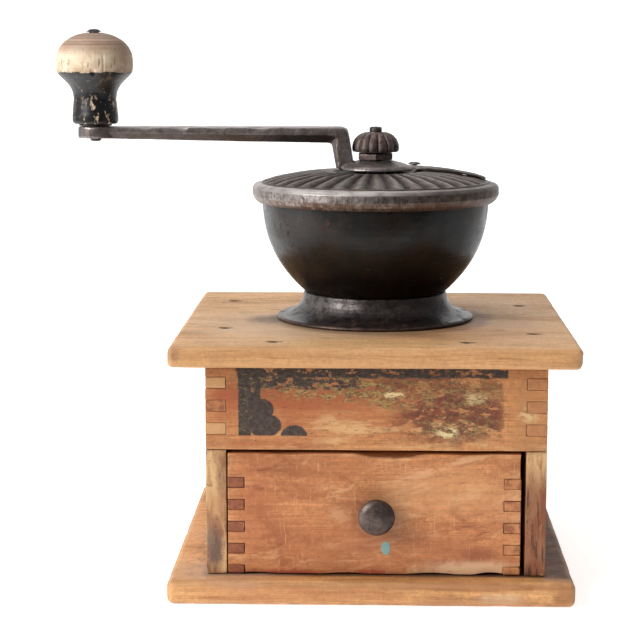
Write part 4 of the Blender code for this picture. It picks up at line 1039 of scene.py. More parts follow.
for node, side in (("drawer_left", -1), ("drawer_right", 1)):
    low, high = reach_of(node)
    gaps = gaps_between(heights, DRAWER_HALF, 0, high[2] + 1)
    notches = [((low[0] - 1, low[1] - 1, a), (high[0] + 1, low[1] + FRONT_THICK + GAP, b)) for a, b in gaps]
    inner_face = abs(low + high)[0] / 2 - DRAWER_WALL / 2
    inner = sorted((side * (inner_face - 1), side * (inner_face + GROOVE)))
    notches.append(((inner[0], low[1] + FRONT_THICK + 0.1, PANEL[0] - GAP),
                    (inner[1], high[1] + 1, PANEL[1] + GAP)))
    drawer_side = plank(node + "_wood", low, high, (2.0, 2.2, 2.0), notches, ease=0.2, edge=0.6)
    age(drawer_side, 41 + side, rub=0.15, reach=2, ripple=0.04, size=8.0, stretch=(1, 0.5, 1))
    nails = [f"drawer_nail_{n}" for n in range(1, 5) if middle_of(f"drawer_nail_{n}")[0] * side > 0]
    for radius, start in ((NAIL_HOLE, 50), (NAIL_SINK, 60.25)):
        bored(drawer_side, [(middle_of(nail)[1:], radius, *sorted((side * start, side * 63)))
                            for nail in nails], "X")
    fitted(drawer_side, node, "drawer", drawer_side_finish(node + " pine", side, 21.0 + 5
                                                                        * side))
    for nail in nails:
        nail_low, nail_high = reach_of(nail)
        head = nail_high[0] if side > 0 else nail_low[0]
        driven(nail, "drawer", nail_high[0] - nail_low[0], (head, *middle_of(nail)[1:]), "X"
               if side > 0 else "-X")


def inner_pine(name, along, drift):
    wood = Pine(name, along, (20.0, -30.0), (200, 154, 112), (172, 122, 82), (104, 66, 44), ring=2.8,
                waver=8.0, drift=drift)
    wood.scratches(SIDE_DEEP, 0.5)
    coffee = wood.clouds(14.0, 5.0, 0.65).ramp(0.42, 0.62)
    wood.stain(coffee, (104, 66, 44), 0.5)
    return wood.sealed((196, 150, 108), GRIME)


low, high = reach_of("drawer_back")
drawer_back = plank("drawer_back_wood", low, high, (2.4, 2.2, 2.2), ease=0.4)
age(drawer_back, 47, rub=0.25, reach=2, ripple=0.05, size=9.0, stretch=(0.4, 1, 1))
holes = [(middle_of(nail)[1:], NAIL_HOLE, *sorted((side * 40.0, side * 56.0)))
         for side in (-1, 1) for nail in ("drawer_nail_1", "drawer_nail_2")]
bored(drawer_back, holes, "X")
fitted(drawer_back, "drawer_back", "drawer", inner_pine("drawer back pine", "X", 33.0))

low, high = reach_of("drawer_bottom")
drawer_bottom = plank("drawer_bottom_wood", low, high, (2.6, 2.6, 1.5), ease=0.2, edge=0.5)
age(drawer_bottom, 53, rub=0.1, reach=1, ripple=0.03, size=11.0, stretch=(0.4, 1, 1))
fitted(drawer_bottom, "drawer_bottom", "drawer", inner_pine("drawer bottom pine", "X", 45.0))


# ==== Drawer pull ====
# A small domed knob of cast iron, held by a wood screw from inside the drawer. It is bare dark iron,
# a little shiny on its crown from fingers.
PULL_PROFILE = [(0, 11.2), (3.0, 11.0), (5.6, 10.2), (7.3, 9.0), (7.85, 7.7), (7.3, 6.5), (5.2, 5.0),
                (4.3, 3.0),
                (5.6, 1.0), (5.6, GAP), (2.1, GAP), (2.1, 8.3), (0, 8.3)]
SCREW_PROFILE = [(0, 8.0), (1.8, 7.0), (1.8, -8.3), (4.0, -8.3), (3.6, -9.7), (0, -10.1)]


def pull_finish():
    iron = Iron("pull iron", (98, 82, 76), (62, 52, 48), (96, 60, 42), (140, 126, 118), rusty=(0.6, 0.74),
                rub=(0.3, 0.8))
    x = iron.place.split()[0]
    # Painted shade on the pull's right side and a painted highlight on its left.
    iron.stain(x.ramp(-2.0, 8.0, 0.0, 0.6), (40, 33, 31))
    iron.stain(x.ramp(-2.0, -8.0, 0.0, 0.45), (140, 128, 122))
    return iron.cast((0.28, 0.36, 0.8), 0.14, 0.5)


STEEL_FINISH = Iron("screw steel", (98, 90, 84), (72, 64, 58), (100, 64, 42), (150, 142, 136),
                    rusty=(0.52, 0.68)).cast((0.28, 0.42, 0.8), 0.1, 0.9)
pull_at = (pull_x, reach_of("drawer_front")[0][1], pull_z)
drawer_pull = turned("drawer_knob_iron", PULL_PROFILE, 72, 0.6, 0.9, at=pull_at, axis="-Y")
age(drawer_pull, 59, rub=0.15, reach=3, ripple=0.07, size=4.0)
fitted(drawer_pull, "drawer_knob", "drawer", pull_finish())
pull_screw = turned("drawer_knob_screw_steel", SCREW_PROFILE, 40, 0.8, 0.25, at=pull_at, axis="-Y")
slot_low = np.array(pull_at) + (-6, -FRONT_THICK - GAP + 17.3, -0.4)
slot_work = bmesh.new()
bmesh.ops.create_cube(slot_work, size=1.0, matrix=Matrix.Translation(Vector(slot_low + (6, 1.5, 0.4)) * MM)
                      @ Matrix.Diagonal((12 * MM, 3 * MM, 0.8 * MM, 1.0)))
cut(pull_screw, slot_work)
pull_screw.data.set_sharp_from_angle(angle=math.radians(40))
fitted(pull_screw, "drawer_knob_screw", "drawer", STEEL_FINISH)


# ==== Hopper foot ====
# A cast collar that flares out to a thin round edge on the board, screwed down through the board from
# inside. Its black paint has worn to a dull grey-black, with bare iron along the edge and the throat.
RIVET_HOLE = 1.5
BOWL_LOW = 121.6
BOWL_HIGH = 164.2
BOWL_RIM = 50.7
BOWL_NECK = 31.6
BOWL_WALL = 2.2
BOWL_FLOOR = 2.6


def foot_finish():
    iron = Iron("foot iron", (38, 33, 32), (58, 50, 48), (74, 50, 38), (130, 122, 120), rusty=(0.52, 0.68),
                rub=(0.22, 0.85))
    x, _, z = iron.place.split()
    rubbed = z.ramp(113.0, 117.0) * iron.clouds(6.0).ramp(0.42, 0.66)
    iron.stain(rubbed, (104, 96, 94), 0.45)
    lit = x.ramp(4.0, -30.0) * z.ramp(110.0, 118.0) * iron.clouds(4.0).ramp(0.35, 0.6)
    iron.stain(lit, (138, 132, 134), 0.5)
    edge = z.ramp(111.6, 110.4) * iron.clouds(4.0).ramp(0.3, 0.6)
    iron.stain(edge, (92, 66, 56), 0.6)
    # Painted shade, darker towards the right side.
    iron.stain(x.ramp(6.0, 44.0, 0.0, 0.55), (22, 19, 18))
    return iron.cast((0.26, 0.33, 0.7), 0.16, 0.5)


low, high = reach_of("hopper_foot")
foot_top, foot_low, foot_reach = high[2], low[2], high[0]
hollow = []
for step in range(9):
    turn = math.pi / 2 * step / 8
    hollow.append((BOWL_NECK + 0.5 + (foot_reach - BOWL_NECK - 1.4) * (1 - math.cos(turn)),
                   foot_top - 0.6 - (foot_top - foot_low - 2.2) * math.sin(turn)))
foot_outline = [(BOWL_NECK + 0.1, foot_top)] + hollow
foot_outline += [(foot_reach, foot_low + 0.9), (foot_reach, foot_low), (FOOT_BORE, foot_low),
                 (FOOT_BORE, foot_top)]
foot = turned("hopper_foot_iron", foot_outline, 176, 1.1, 0.45)
age(foot, 61, rub=0.1, reach=3, ripple=0.06, size=7.0)
rivets = [middle_of(f"bowl_rivet_{n}")[:2] for n in range(1, 4)]
holes = [(at, SCREW_HOLE, foot_low - 2, 118.0) for at in mill_screws]
bored(foot, holes + [(at, RIVET_HOLE, 113.0, foot_top + 2) for at in rivets])
foot.data.set_sharp_from_angle(angle=math.radians(50))
fitted(foot, "hopper_foot", "mill", foot_finish())


# ==== Hopper bowl ====
# A thin cast bowl, japanned gloss black inside and out, riveted to the foot. The gloss has gone brown
# in places, with fine scratches, rust flecks on its shoulder and a bright nibbled rim.
def bowl_finish():
    iron = Finish("japanned iron")
    x, y, z = iron.place.split()
    film = iron.clouds(16.0, 4.0, 0.6).ramp(0.4, 0.68)
    colour = iron.mix(film, Color((0.0062, 0.0052, 0.0048)), Color((0.017, 0.0105, 0.0072)))
    low_brown = z.ramp(150.0, 128.0) * iron.clouds(12.0, 4.0, 0.6).ramp(0.35, 0.65)
    colour = iron.mix(low_brown * 0.5, colour, Color((0.014, 0.006, 0.0035)))
    shoulder = z.ramp(140.0, 158.0) * x.ramp(10.0, -40.0)
    fleck = iron.clouds(1.7).ramp(shoulder * -0.085 + 0.7, shoulder * -0.085 + 0.73)
    for at, size in (((-40, -30, 152), (7, 9, 6)), ((-34, -34, 142), (5, 8, 5)),
                     ((-22, -44, 155), (5, 6, 3))):
        near = iron.spot(at, size, 0.6, 0.8, 4.0) * iron.clouds(1.6, 5.0, 0.75).ramp(0.53, 0.57)
        fleck = fleck | near * 0.8
    rim = z.ramp(161.6, 163.8) * iron.clouds(2.4).ramp(0.38, 0.55)
    fleck = fleck | rim * 0.8
    rust = iron.mix(iron.clouds(0.8, 3.0, 0.7).ramp(0.35, 0.65), (112, 64, 40), (60, 36, 26))
    colour = iron.mix(fleck * 0.85, colour, rust)
    slant = iron.joined((z * 0.3 + x) * 0.12, y * 0.12, z)
    scratch = iron.clouds(0.5, 2.0, 0.7, slant).ramp(0.71, 0.74)
    colour = iron.mix(scratch * 0.28, colour, (122, 112, 106))
    bare = iron.worn.ramp(0.35, 0.8)
    colour = iron.mix(bare * 0.6, colour, (92, 80, 72))
    haze = iron.clouds(9.0, 5.0, 0.65).ramp(0.3, 0.7, 0.24, 0.4)
    gloss = fleck * 0.5 + haze
    relief = iron.relief(fleck * 0.5 - scratch, 0.09, 0.6)
    relief = iron.relief(iron.clouds(6.0, 3.0, 0.5), 0.5, 0.16, relief)
    return iron.done(colour, gloss, relief, fleck * 0.4, **{"Specular IOR Level": z.ramp(128.0, 158.0, 0.1,
                                                                                         0.44)
                                                            * x.ramp(-10.0, 40.0, 1.0, 0.45)})


def bowl_reach(height):
    depth = (BOWL_HIGH - height) / (BOWL_HIGH - BOWL_LOW)
    return BOWL_NECK + (BOWL_RIM - BOWL_NECK) * (1 - 0.12 * depth - 0.88 * depth ** 2.7)


levels = [BOWL_HIGH - (BOWL_HIGH - BOWL_LOW) * (i / 16) ** 0.8 for i in range(17)]
inside = [(bowl_reach(z) - BOWL_WALL, z) for z in levels if z > BOWL_LOW + BOWL_FLOOR + 3]
bowl_outline = [(bowl_reach(z), z) for z in levels] + [(FOOT_BORE, BOWL_LOW),
                                                       (FOOT_BORE, BOWL_LOW + BOWL_FLOOR),
                                                       (30.5, BOWL_LOW + BOWL_FLOOR)] + inside[::-1]
bowl = turned("hopper_bowl_iron", bowl_outline, 200, 1.4, 0.5)
age(bowl, 67, rub=0.08, reach=2, ripple=0.05, size=9.0)
bored(bowl, [(at, RIVET_HOLE, BOWL_LOW - 2, BOWL_LOW + BOWL_FLOOR + 2) for at in rivets])
bowl.data.set_sharp_from_angle(angle=math.radians(50))
fitted(bowl, "hopper_bowl", "mill", bowl_finish())


# ==== Rivets of the bowl ====
# Three soft iron rivets, closed over from inside the bowl and painted with it.
DARK_IRON = Iron("dark iron", (62, 52, 48), (46, 38, 35), (90, 54, 36), (128, 116, 108),
                 rusty=(0.5, 0.68)).cast((0.34, 0.52, 0.85), 0.16, 0.7)
head = BOWL_LOW + BOWL_FLOOR + GAP
RIVET_PROFILE = [(0, head + 1.3), (1.6, head + 1.0), (2.5, head), (1.2, head), (1.2, 113.6), (0, 113.6)]
for number, (x, y) in enumerate(rivets, 1):
    rivet = turned(f"bowl_rivet_{number}_iron", RIVET_PROFILE, 28, 0.8, 0.2, at=(x, y, 0))
    age(rivet, 70 + number, rub=0.06, reach=1, ripple=0.03, size=1.5)
    fitted(rivet, f"bowl_rivet_{number}", "mill", DARK_IRON)


# ==== Lid ====
# A cast lid with 36 rounded ribs round a low dome, a plain raised rim and a filling hole at the back
# right. It is bare iron: grey and bright on the rim and the rib crests, brown-black in the grooves,
# with a painted highlight on the left of the rim and painted shade on the right of the lid.
LID_BORE = 8.6
LID_DOME = [(19.8, 174.9), (23.0, 175.1), (34.0, 174.3), (45.0, 172.3), (50.4, 170.6)]
LID_RIM = [(50.9, 169.9), (51.6, 170.1), (53.8, 169.5), (54.9, 168.2), (54.95, 164.9), (53.8, 162.8),
           (52.2, 161.4),
           (51.4, 161.2)]
RIBS = 36
RIB_DEPTH = 1.25
RIB_TURN = 4.0         # degrees from the front to the first groove
HOLE_ANGLES = (6.0, 64.0)
HOLE_REACH = (21.0, 45.0)


def rib_backs(angles):
    """1 on the crest of each rib and 0 in the groove beside it."""
    part = ((angles + math.pi / 2) / (2 * math.pi) * RIBS + RIB_TURN / 10) % 1.0
    return np.sin(math.pi * part) ** 0.9


def ribbed(radii, heights, angles):
    """Round-backed ribs that fade out at the hub and at the rim."""
    along = np.clip((radii - 20.5) / 4.0, 0, 1) * np.clip((50.2 - radii) / 1.6, 0, 1)
    along = np.where(heights > 169.5 + (50 - radii) * 0.035, along, 0.0)
    back = rib_backs(angles)
    width = radii * 2 * math.pi / RIBS
    depth = RIB_DEPTH * np.clip(width / 5.5, 0.55, 1.15)
    return radii, heights - (1 - back) * depth * along


def rib_tones(iron, depth):
    """Light crests and dark grooves that follow the ribs."""
    x, y, _ = iron.place.split()
    reach = (x * x + y * y).maths("SQRT")
    turn = y.maths("ARCTAN2", x)
    part = (turn * (RIBS / (2 * math.pi)) + (RIBS * 0.25 + RIB_TURN / 10 + RIBS)).maths("FRACT")
    crest = (part * math.pi).maths("SINE")
    crest = iron.clouds(3.0) * 0.7 + (crest - 0.35)
    ribs = reach.ramp(50.4, 49.4) * reach.ramp(20.6, 22.4)
    groove = ribs * crest.ramp(0.78, 0.4) * depth
    iron.stain(groove, (42, 34, 30))
    iron.stain(ribs * crest.ramp(0.86, 1.04), (150, 142, 136), 0.55)
    return reach


def lid_finish():
    iron = Iron("lid iron", (104, 94, 88), (80, 70, 64), (96, 62, 44), (172, 164, 158), rusty=(0.57, 0.72),
                rub=(0.18, 0.75))
    x, y, z = iron.place.split()
    reach = rib_tones(iron, 0.85)
    rim = reach.ramp(50.6, 51.4) * z.ramp(160.0, 162.0)
    # The rim's grey goes from light on the left to dark on the right: painted light and painted shade.
    rim_light_falloff = x.ramp(-36.0, 40.0)
    pale = iron.mix(rim_light_falloff, (176, 168, 164), (96, 82, 74))
    dark = iron.mix(rim_light_falloff, (128, 116, 110), (52, 42, 36))
    grey = iron.mix(iron.clouds(3.0).ramp(0.38, 0.62), pale, dark)
    iron.stain(rim * (1.0 - iron.rusted * 0.7), grey, 0.9)
    turn = y.maths("ARCTAN2", x)
    band = iron.joined(turn * 53.0, 0.0, z * 0.28)
    streak = iron.clouds(1.2, 4.0, 0.75, band).ramp(0.53, 0.62)
    wall = rim * z.ramp(168.4, 167.6)
    iron.stain(wall * streak, (46, 38, 34), 0.75)
    # The rim's upper edge is worn bright, with a painted highlight that is strongest on the left.
    edge = rim * z.ramp(167.4, 168.6) * iron.clouds(6.0, 4.0, 0.6).ramp(0.3, 0.6) * x.ramp(30.0, -10.0,
                                                                                           0.35, 1.0)
    iron.stain(edge, (206, 200, 196), 0.8)
    rust_low = rim * z.ramp(165.2, 164.2) * iron.clouds(3.0).ramp(0.3, 0.55)
    iron.stain(rust_low, (98, 74, 60), 0.65)
    # Browner and darker towards the right: painted shade.
    brown = x.ramp(8.0, 52.0) * iron.clouds(6.0).ramp(0.38, 0.6)
    iron.stain(brown, (70, 54, 46), 0.5)
    hub = reach.ramp(20.6, 18.8)
    iron.stain(hub, (74, 62, 56), 0.7)
    return iron.cast((0.30, 0.44, 0.8), 0.2, 0.78, 0.5)


def sector(reach_out, reach_in, start, end, low, high, steps=40):
    """A closed block between two arcs about the spindle, to cut with."""
    turns = [math.radians(start + (end - start) * i / steps) for i in range(steps + 1)]
    outline = [(reach_out * math.cos(t), reach_out * math.sin(t)) for t in turns]
    outline += [(reach_in * math.cos(t), reach_in * math.sin(t)) for t in turns[::-1]]
    work = bmesh.new()
    base = work.faces.new([work.verts.new((x * MM, y * MM, low * MM)) for x, y in outline])
    sweep = bmesh.ops.extrude_face_region(work, geom=[base])
    lifted = [item for item in sweep["geom"] if isinstance(item, bmesh.types.BMVert)]
    bmesh.ops.translate(work, verts=lifted, vec=(0, 0, (high - low) * MM))
    bmesh.ops.recalc_face_normals(work, faces=work.faces)
    return work


lid_outline = [(LID_BORE, 172.7), (17.4, 172.7), *LID_DOME, *LID_RIM, (51.1, 164.5), (47.6, 167.0),
               (34.0, 171.4),
               (22.0, 172.1), (19.0, 170.2), (LID_BORE, 170.2)]
lid = turned("lid_cover_iron", lid_outline, RIBS * 12, 1.0, 0.22, ribbed)
age(lid, 83, rub=0.1, reach=2, ripple=0.05, size=6.0)
cut(lid, sector(HOLE_REACH[1], HOLE_REACH[0], *HOLE_ANGLES, 160, 180))
lid.data.set_sharp_from_angle(angle=math.radians(32))
fitted(lid, "lid_cover", "mill", lid_finish())


# ==== Lid shutter and its stud ====
# A ribbed sheet-iron shutter that turns on a collar in the lid's middle to cover the filling hole, with
# a low riveted steel button to push it by.
SHUTTER_LOW = 0.4
SHUTTER_HIGH = 1.3
SHUTTER_EDGE = 49.0
COLLAR = (173.1, 174.1)


def dome_height(reach):
    return float(np.interp(reach, *np.array(LID_DOME).T))


def shutter_ribs(radii, heights, angles):
    """Ribs that follow the lid's, pressed into the upper face only; the face below stays plain."""
    along = np.clip((radii - 24.0) / 4.0, 0, 1) * np.clip((47.5 - radii) / 2.0, 0, 1)
    back = rib_backs(angles)
    upper = heights > np.interp(radii, *np.array(LID_DOME).T) + (SHUTTER_LOW + SHUTTER_HIGH) / 2
    return radii, heights - np.where(upper, (1 - back) * 0.55 * along, 0.0)


def shutter_finish():
    iron = Iron("shutter iron", (88, 76, 70), (66, 56, 50), (90, 58, 42), (138, 128, 122),
                rusty=(0.53, 0.7), rub=(0.25, 0.9))
    rib_tones(iron, 0.8)
    return iron.cast((0.34, 0.48, 0.8), 0.16, 0.75, 0.5)


bands = (23.0, 27.0, 34.0, 41.0, 45.0, SHUTTER_EDGE)
shutter_outline = [(LID_BORE + 0.2, COLLAR[1]), (16.8, COLLAR[1]), (18.4, 176.1)]
shutter_outline += [(r, dome_height(r) + SHUTTER_HIGH) for r in bands]
shutter_outline += [(r, dome_height(r) + SHUTTER_LOW) for r in bands[::-1]]
shutter_outline += [(18.9, 175.35), (17.3, COLLAR[0]), (LID_BORE + 0.2, COLLAR[0])]
shutter = turned("lid_shutter_iron", shutter_outline, RIBS * 12, 1.0, 0.25, shutter_ribs)
cut(shutter, sector(SHUTTER_EDGE + 5, 16.4, 76.0, 354.0, 160, 190, 120))
shutter.data.set_sharp_from_angle(angle=math.radians(55))
age(shutter, 89, rub=0.06, reach=1, ripple=0.03, size=6.0)
stud_x, stud_y, _ = middle_of("shutter_knob")
bored(shutter, [((stud_x, stud_y), RIVET_HOLE, 170, 180)])
shutter.data.set_sharp_from_angle(angle=math.radians(55))
fitted(shutter, "lid_shutter", "shutter", shutter_finish())
stud_foot = dome_height(36.0) + SHUTTER_HIGH + 0.6
STUD_PROFILE = [(0, 1.3), (1.8, 1.1), (2.8, 0.6), (3.0, 0), (1.2, 0), (1.2, -1.3), (0, -1.3)]
stud = turned("shutter_knob_steel", STUD_PROFILE, 40, 0.5, 0.5, at=(stud_x, stud_y, stud_foot))
age(stud, 93, rub=0.05, reach=1, ripple=0.03, size=2.0)
fitted(stud, "shutter_knob", "shutter", STEEL_FINISH)


# ==== Mill under the top board ====
# The cast housing, its fluted burr and cone, the three-armed spindle guide, and the bridge with the
# screw that sets the grind. All are rough black castings with steel screws and a brass step bearing.
def recast(node, grain, soften=2):
    """A casting in a fine even skin, with its sharp corners softened."""
    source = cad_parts[node]
    piece = bpy.data.objects.new(node + "_cast", source.data.copy())
    bpy.context.scene.collection.objects.link(piece)
    skin = piece.modifiers.new("even skin", "REMESH")
    skin.mode = "VOXEL"
    skin.voxel_size = grain * MM
    smooth = piece.modifiers.new("soften", "SMOOTH")
    smooth.factor = 0.5
    smooth.iterations = soften
    piece.data.materials.clear()
    return settle(piece)


BURR_STEEL = Iron("burr steel", (112, 104, 96), (84, 74, 66), (96, 60, 40), (176, 168, 160),
                  rusty=(0.48, 0.66)).cast((0.3, 0.48, 0.85), 0.14, 0.85)
BRASS = Iron("bearing brass", (178, 140, 72), (138, 104, 54), (84, 70, 44), (214, 184, 116),
             rusty=(0.56, 0.74)).cast((0.24, 0.4, 0.7), 0.08, 0.95)
CASTINGS = (("burr_housing", "mill", "dark_iron", DARK_IRON, 0.75),
            ("outer_burr", "mill", "steel", BURR_STEEL, 0.5),
            ("spindle_guide", "mill", "dark_iron", DARK_IRON, 0.5),
            ("lower_bridge", "mill", "dark_iron", DARK_IRON, 0.45),
            ("adjuster_nut", "mill", "steel", STEEL_FINISH, 0.3),
            ("adjusting_screw", "adjuster", "steel", STEEL_FINISH, 0.3),
            ("step_bearing", "step_bearing", "bearing_brass", BRASS, 0.2),
            ("grinding_cone", "crank", "steel", BURR_STEEL, 0.45),
            ("cone_pin", "crank", "steel", STEEL_FINISH, 0.25))
for number, (node, body, slot, finish, grain) in enumerate(CASTINGS):
    casting = age(recast(node, grain), 100 + number, rub=0.04, reach=1, ripple=0.03, size=3.0)
    fitted(casting, node, body, finish)
MILL_SCREW = [(0, 117.4), (2.0, 116.4), (2.0, 96.3), (3.6, 96.3), (3.2, 94.7), (0, 94.3)]
BRIDGE_SCREW = [(0, 80.4), (1.1, 79.6), (1.1, 70.4), (2.2, 70.4), (1.9, 69.2), (0, 68.9)]
for kind, count, outline in (("mill_screw", 3, MILL_SCREW), ("bridge_screw", 2, BRIDGE_SCREW)):
    for number in range(1, count + 1):
        x, y, _ = middle_of(f"{kind}_{number}")
        screw = turned(f"{kind}_{number}_steel", outline, 28, 0.8, 0.2, at=(x, y, 0))
        age(screw, 120 + number, rub=0.05, reach=1, ripple=0.03, size=2.0)
        fitted(screw, f"{kind}_{number}", "mill", STEEL_FINISH)


# ==== Spindle ====
# A turned steel shaft from the step bearing to the crank, with a square seat for the crank's hub and a
# screw thread above it for the two nuts. Only its dark upper end shows over the cap nut.
SPINDLE_STEEL = Iron("spindle steel", (84, 74, 68), (60, 52, 48), (92, 58, 40), (150, 142, 136),
                     rusty=(0.5, 0.68)).cast((0.3, 0.45, 0.8), 0.12, 0.85)
THREAD_R = 2.95
THREAD_STEP = 0.9
HUB_LOW = 175.2
SQUARE = 7.0
low, high = reach_of("spindle")
spindle_top = high[2]
thread = [(0, spindle_top), (2.1, spindle_top - 0.12), (THREAD_R - 0.3, spindle_top - 0.5)]
z = spindle_top - 0.7
while z > 180.2:
    thread += [(THREAD_R, z), (THREAD_R - 0.32, z - THREAD_STEP / 2)]
    z -= THREAD_STEP
shaft = [(3.2, 178.6), (3.3, HUB_LOW - 0.3), (4.0, HUB_LOW - 0.4), (4.0, low[2] + 2), (2.6, low[2] + 1),
         (2.6, low[2]), (0, low[2])]
spindle = turned("spindle_steel", thread + shaft, 48, 2.0, 0.16)
seat = bmesh.new()
bmesh.ops.create_cube(seat, size=1.0, matrix=Matrix.Translation((0, 0, (HUB_LOW - 0.2 + 179.6) / 2 * MM))
                      @ Matrix.Diagonal((SQUARE * MM, SQUARE * MM, (179.6 - HUB_LOW + 0.2) * MM, 1.0)))
cut(spindle, seat, "UNION")
bored(spindle, [((0, reach_of("cone_pin")[0][2] + 1.0), 1.3, -20, 20)], "X")
age(spindle, 131, rub=0.04, reach=1, ripple=0.02, size=3.0)
spindle.data.set_sharp_from_angle(angle=math.radians(50))
fitted(spindle, "spindle", "crank", SPINDLE_STEEL)


# ==== Crank arm ====
# One forging: a round hub on the spindle's square, a short riser bent over into a long flat-topped arm
# with a bevelled underside, and a flat eye at its end. Bare iron, its upper edges rubbed bright.
def arm_finish():
    iron = Iron("arm iron", (138, 130, 128), (112, 102, 98), (92, 64, 52), (190, 184, 182),
                rusty=(0.58, 0.74), rub=(0.12, 0.6))
    x = iron.place.split()[0]
    # Painted shade on the faces that look down.
    under = iron.facing.split()[2].ramp(-0.1, -0.55)
    iron.stain(under, (58, 48, 46), 0.7)
    brown = x.ramp(-34.0, -20.0) * iron.clouds(5.0, 4.0, 0.6).ramp(0.35, 0.6)
    iron.stain(brown, (104, 88, 82), 0.25)
    return iron.cast((0.30, 0.42, 0.8), 0.2, 0.82, 0.7)


arm = age(recast("crank_arm", 0.5, 3), 137, rub=0.16, reach=3, ripple=0.07, size=6.0, gain=4.0)
for x, depth in ((-104, 0.25), (-88, 0.3), (-71, 0.2), (-52, 0.3), (-37, 0.22)):
    bitten(arm, (x, -4.9, 194.4), (5, 2, 2), (0, depth, -depth))
fitted(arm, "crank_arm", "crank", arm_finish())


# ==== Lock nut and cap nut ====
# A hexagon nut holds the hub down on the spindle's square; over it a squashed round nut with fourteen
# pressed ribs covers the thread. Both are brown-black iron, worn lighter on the ribs.
RIB_COUNT = 14
CAP_NUT = [(3.25, 192.3), (5.0, 192.2), (7.6, 191.1), (9.4, 189.3), (10.35, 187.0), (10.6, 185.0),
           (10.2, 183.5),
           (3.25, 183.3)]


def nut_ribs(radii, heights, angles):
    part = (angles / (2 * math.pi) * RIB_COUNT + 0.25) % 1.0
    groove = 1 - np.sqrt(np.clip(1 - (2 * part - 1) ** 2, 0, 1))
    reach = np.clip((radii - 5.2) / 2.5, 0, 1)
    return radii - groove * 1.35 * reach, heights - groove * 0.5 * reach * np.clip((heights - 187.0) / 3.0,
                                                                                   0, 1)


NUT_IRON = Iron("nut iron", (120, 104, 100), (84, 70, 66), (104, 70, 54), (176, 164, 160),
                rusty=(0.55, 0.7), rub=(0.15, 0.6)).cast((0.34, 0.5, 0.8), 0.16, 0.75, 0.9)
lock_nut = age(recast("lock_nut", 0.3), 139, rub=0.12, reach=2, ripple=0.03, size=3.0)
fitted(lock_nut, "lock_nut", "crank", NUT_IRON)
cap_nut = turned("cap_nut_iron", CAP_NUT, RIB_COUNT * 16, 0.5, 0.5, nut_ribs)
age(cap_nut, 149, rub=0.12, reach=2, ripple=0.04, size=3.0)
fitted(cap_nut, "cap_nut", "crank", NUT_IRON)


# ==== Knob pin and washer ====
# A steel pin runs up through the knob; its lower end is riveted under the arm's eye and its domed head
# holds the knob down. A thin washer lies between the knob and the eye.
PIN_X = -125.0
EYE_LOW = 189.4
KNOB_PIN = [(0, 237.6), (1.9, 237.4), (3.7, 236.2), (2.2, 236.2), (2.2, EYE_LOW - 0.3),
            (2.7, EYE_LOW - 0.3),
            (2.0, EYE_LOW - 1.3), (0, EYE_LOW - 1.5)]
WASHER = [(7.4, 195.4), (7.4, 194.9), (2.5, 194.9), (2.5, 195.4)]
knob_pin = turned("knob_pin_iron", KNOB_PIN, 40, 0.8, 0.3, at=(PIN_X, 0, 0))
age(knob_pin, 151, rub=0.05, reach=1, ripple=0.03, size=2.0)
fitted(knob_pin, "knob_pin", "crank", DARK_IRON)
knob_washer = turned("knob_washer_iron", WASHER, 64, 0.6, 0.12, at=(PIN_X, 0, 0))
age(knob_washer, 157, rub=0.03, reach=1, ripple=0.015, size=3.0)
fitted(knob_washer, "knob_washer", "crank", DARK_IRON)


# ==== Crank knob ====
# A turned mushroom knob of pale hardwood. Its waist keeps its black paint, chipped to the wood low
# down; the head is worn bare, with short drying cracks round its side and turning lines on top.
GRIP_LOW = 195.7
GRIP_HEAD = (17.05, 223.2, 12.9)    # radius, height of the middle, half height
GRIP_FULL = 0.91    # under 1 the head is squarer than an ellipse
GRIP_WAIST = [(17.0, 219.8), (16.4, 217.9), (14.4, 216.0), (11.7, 213.3), (10.1, 210.6), (9.45, 207.3),
              (9.85, 203.5),
              (10.25, 199.0), (10.25, 197.0), (9.6, GRIP_LOW)]


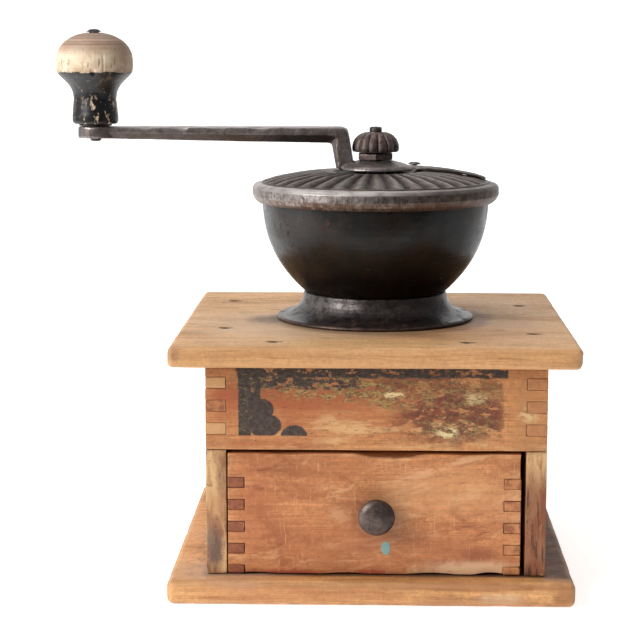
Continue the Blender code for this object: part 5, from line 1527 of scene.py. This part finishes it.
def grip_finish():
    wood = Finish("knob wood")
    x, y, z = wood.place.shifted(-PIN_X, 0, 0).split()
    reach = (x * x + y * y).maths("SQRT")
    turn = y.maths("ARCTAN2", x)
    round_place = wood.joined(turn * 15.0, reach, z * 0.16)
    fibre = wood.clouds(0.9, 3.0, 0.6, round_place)
    patch = wood.clouds(7.0, 4.0, 0.6)
    colour = wood.mix(patch.ramp(0.35, 0.65), (246, 226, 198), (222, 194, 160))
    colour = wood.mix(fibre.ramp(0.5, 0.72, 0.0, 0.45), colour, (170, 128, 94))
    lathe = wood.clouds(0.8, 2.0, 0.5, wood.joined(0.0, reach, z * 1.4)).ramp(0.4, 0.65)
    crown = z.ramp(225.0, 231.0)
    pink = wood.mix(lathe, (178, 146, 124), (118, 84, 68))
    colour = wood.mix(crown * 0.85, colour, pink)
    colour = wood.mix(z.ramp(232.0, 236.0) * 0.5, colour, (104, 78, 66))
    crack = wood.clouds(1.0, 3.0, 0.65, wood.joined(turn * 15.0, 0.0, z * 0.16)).ramp(0.63, 0.67)
    crack = crack * z.ramp(217.0, 219.0) * z.ramp(229.0, 225.0)
    colour = wood.mix(crack * 0.9, colour, (62, 40, 30))
    # Painted shade on the knob's right side.
    colour = wood.mix(x.ramp(4.0, 17.0, 0.0, 0.45), colour, (128, 92, 66))
    dirty = z.ramp(221.5, 218.0) * wood.clouds(3.0, 4.0, 0.6).ramp(0.35, 0.6)
    colour = wood.mix(dirty * 0.55, colour, (140, 104, 80))
    line = wood.clouds(4.0, 4.0, 0.6) * 3.4 + (z - 1.7)
    paint = line.ramp(218.9, 218.4)
    chips = wood.clouds(2.1, 4.0, 0.62, wood.place.stretched(1, 1, 0.55)).ramp(0.585, 0.6)
    low_down = z.ramp(210.0, 204.0) * x.ramp(-8.0, 1.0)
    paint = paint * (1.0 - chips * (low_down * 0.85 + 0.12))
    few = wood.clouds(1.0, 3.0, 0.6).ramp(0.7, 0.72)
    paint = paint * (1.0 - few)
    black = wood.mix(wood.clouds(3.0, 4.0, 0.6).ramp(0.4, 0.7), Color((0.006, 0.006, 0.007)),
                     Color((0.016, 0.0155, 0.0165)))
    colour = wood.mix(paint, colour, black)
    rough = paint * -0.26 + 0.6
    height = paint * 0.6 + (fibre * 0.4 + crack * -1.5)
    relief = wood.relief(height, 0.16, 0.8)
    return wood.done(colour, rough, relief)


def grip_lines(radii, heights, angles):
    """The lathe's fine rings, and a few open drying cracks round the head."""
    wave = 0.035 * np.sin(heights * 5.2) + 0.025 * np.sin(heights * 2.3 + 1.0)
    dip = np.zeros_like(radii)
    for start, low, high, depth in ((-2.15, 218, 226, 0.45), (-1.72, 219, 224, 0.35),
                                    (-1.2, 217.5, 227, 0.5),
                                    (-0.55, 219, 225, 0.4), (0.4, 218, 226, 0.5), (1.5, 219, 226, 0.4),
                                    (2.6, 218, 225, 0.45)):
        side = (angles - start + math.pi) % (2 * math.pi) - math.pi
        narrow = np.exp(-(side * 17 / 0.3) ** 2)
        dip += depth * narrow * np.clip((heights - low) / 2, 0, 1) * np.clip((high - heights) / 2, 0, 1)
    outer = radii > 4.0
    return radii + np.where(outer, wave - dip, 0.0), heights


grip_outline = [(2.5, GRIP_LOW + 40.1)]
for step in range(1, 13):
    turn = math.pi / 2 * step / 12
    wide, tall = (max(0.0, part) ** GRIP_FULL for part in (math.sin(turn), math.cos(turn)))
    grip_outline.append((GRIP_HEAD[0] * wide, GRIP_HEAD[1] + GRIP_HEAD[2] * tall))
grip_outline += GRIP_WAIST + [(2.5, GRIP_LOW)]
grip = turned("knob_grip_wood", grip_outline, 300, 0.8, 0.9, grip_lines, at=(PIN_X, 0, 0))
age(grip, 163, rub=0.1, reach=3, ripple=0.06, size=6.0)
bitten(grip, (PIN_X + 1.5, -15.5, 218.6), (1.6, 3, 1.6), (0, 1.0, 0.8))
fitted(grip, "knob_grip", "knob", grip_finish())
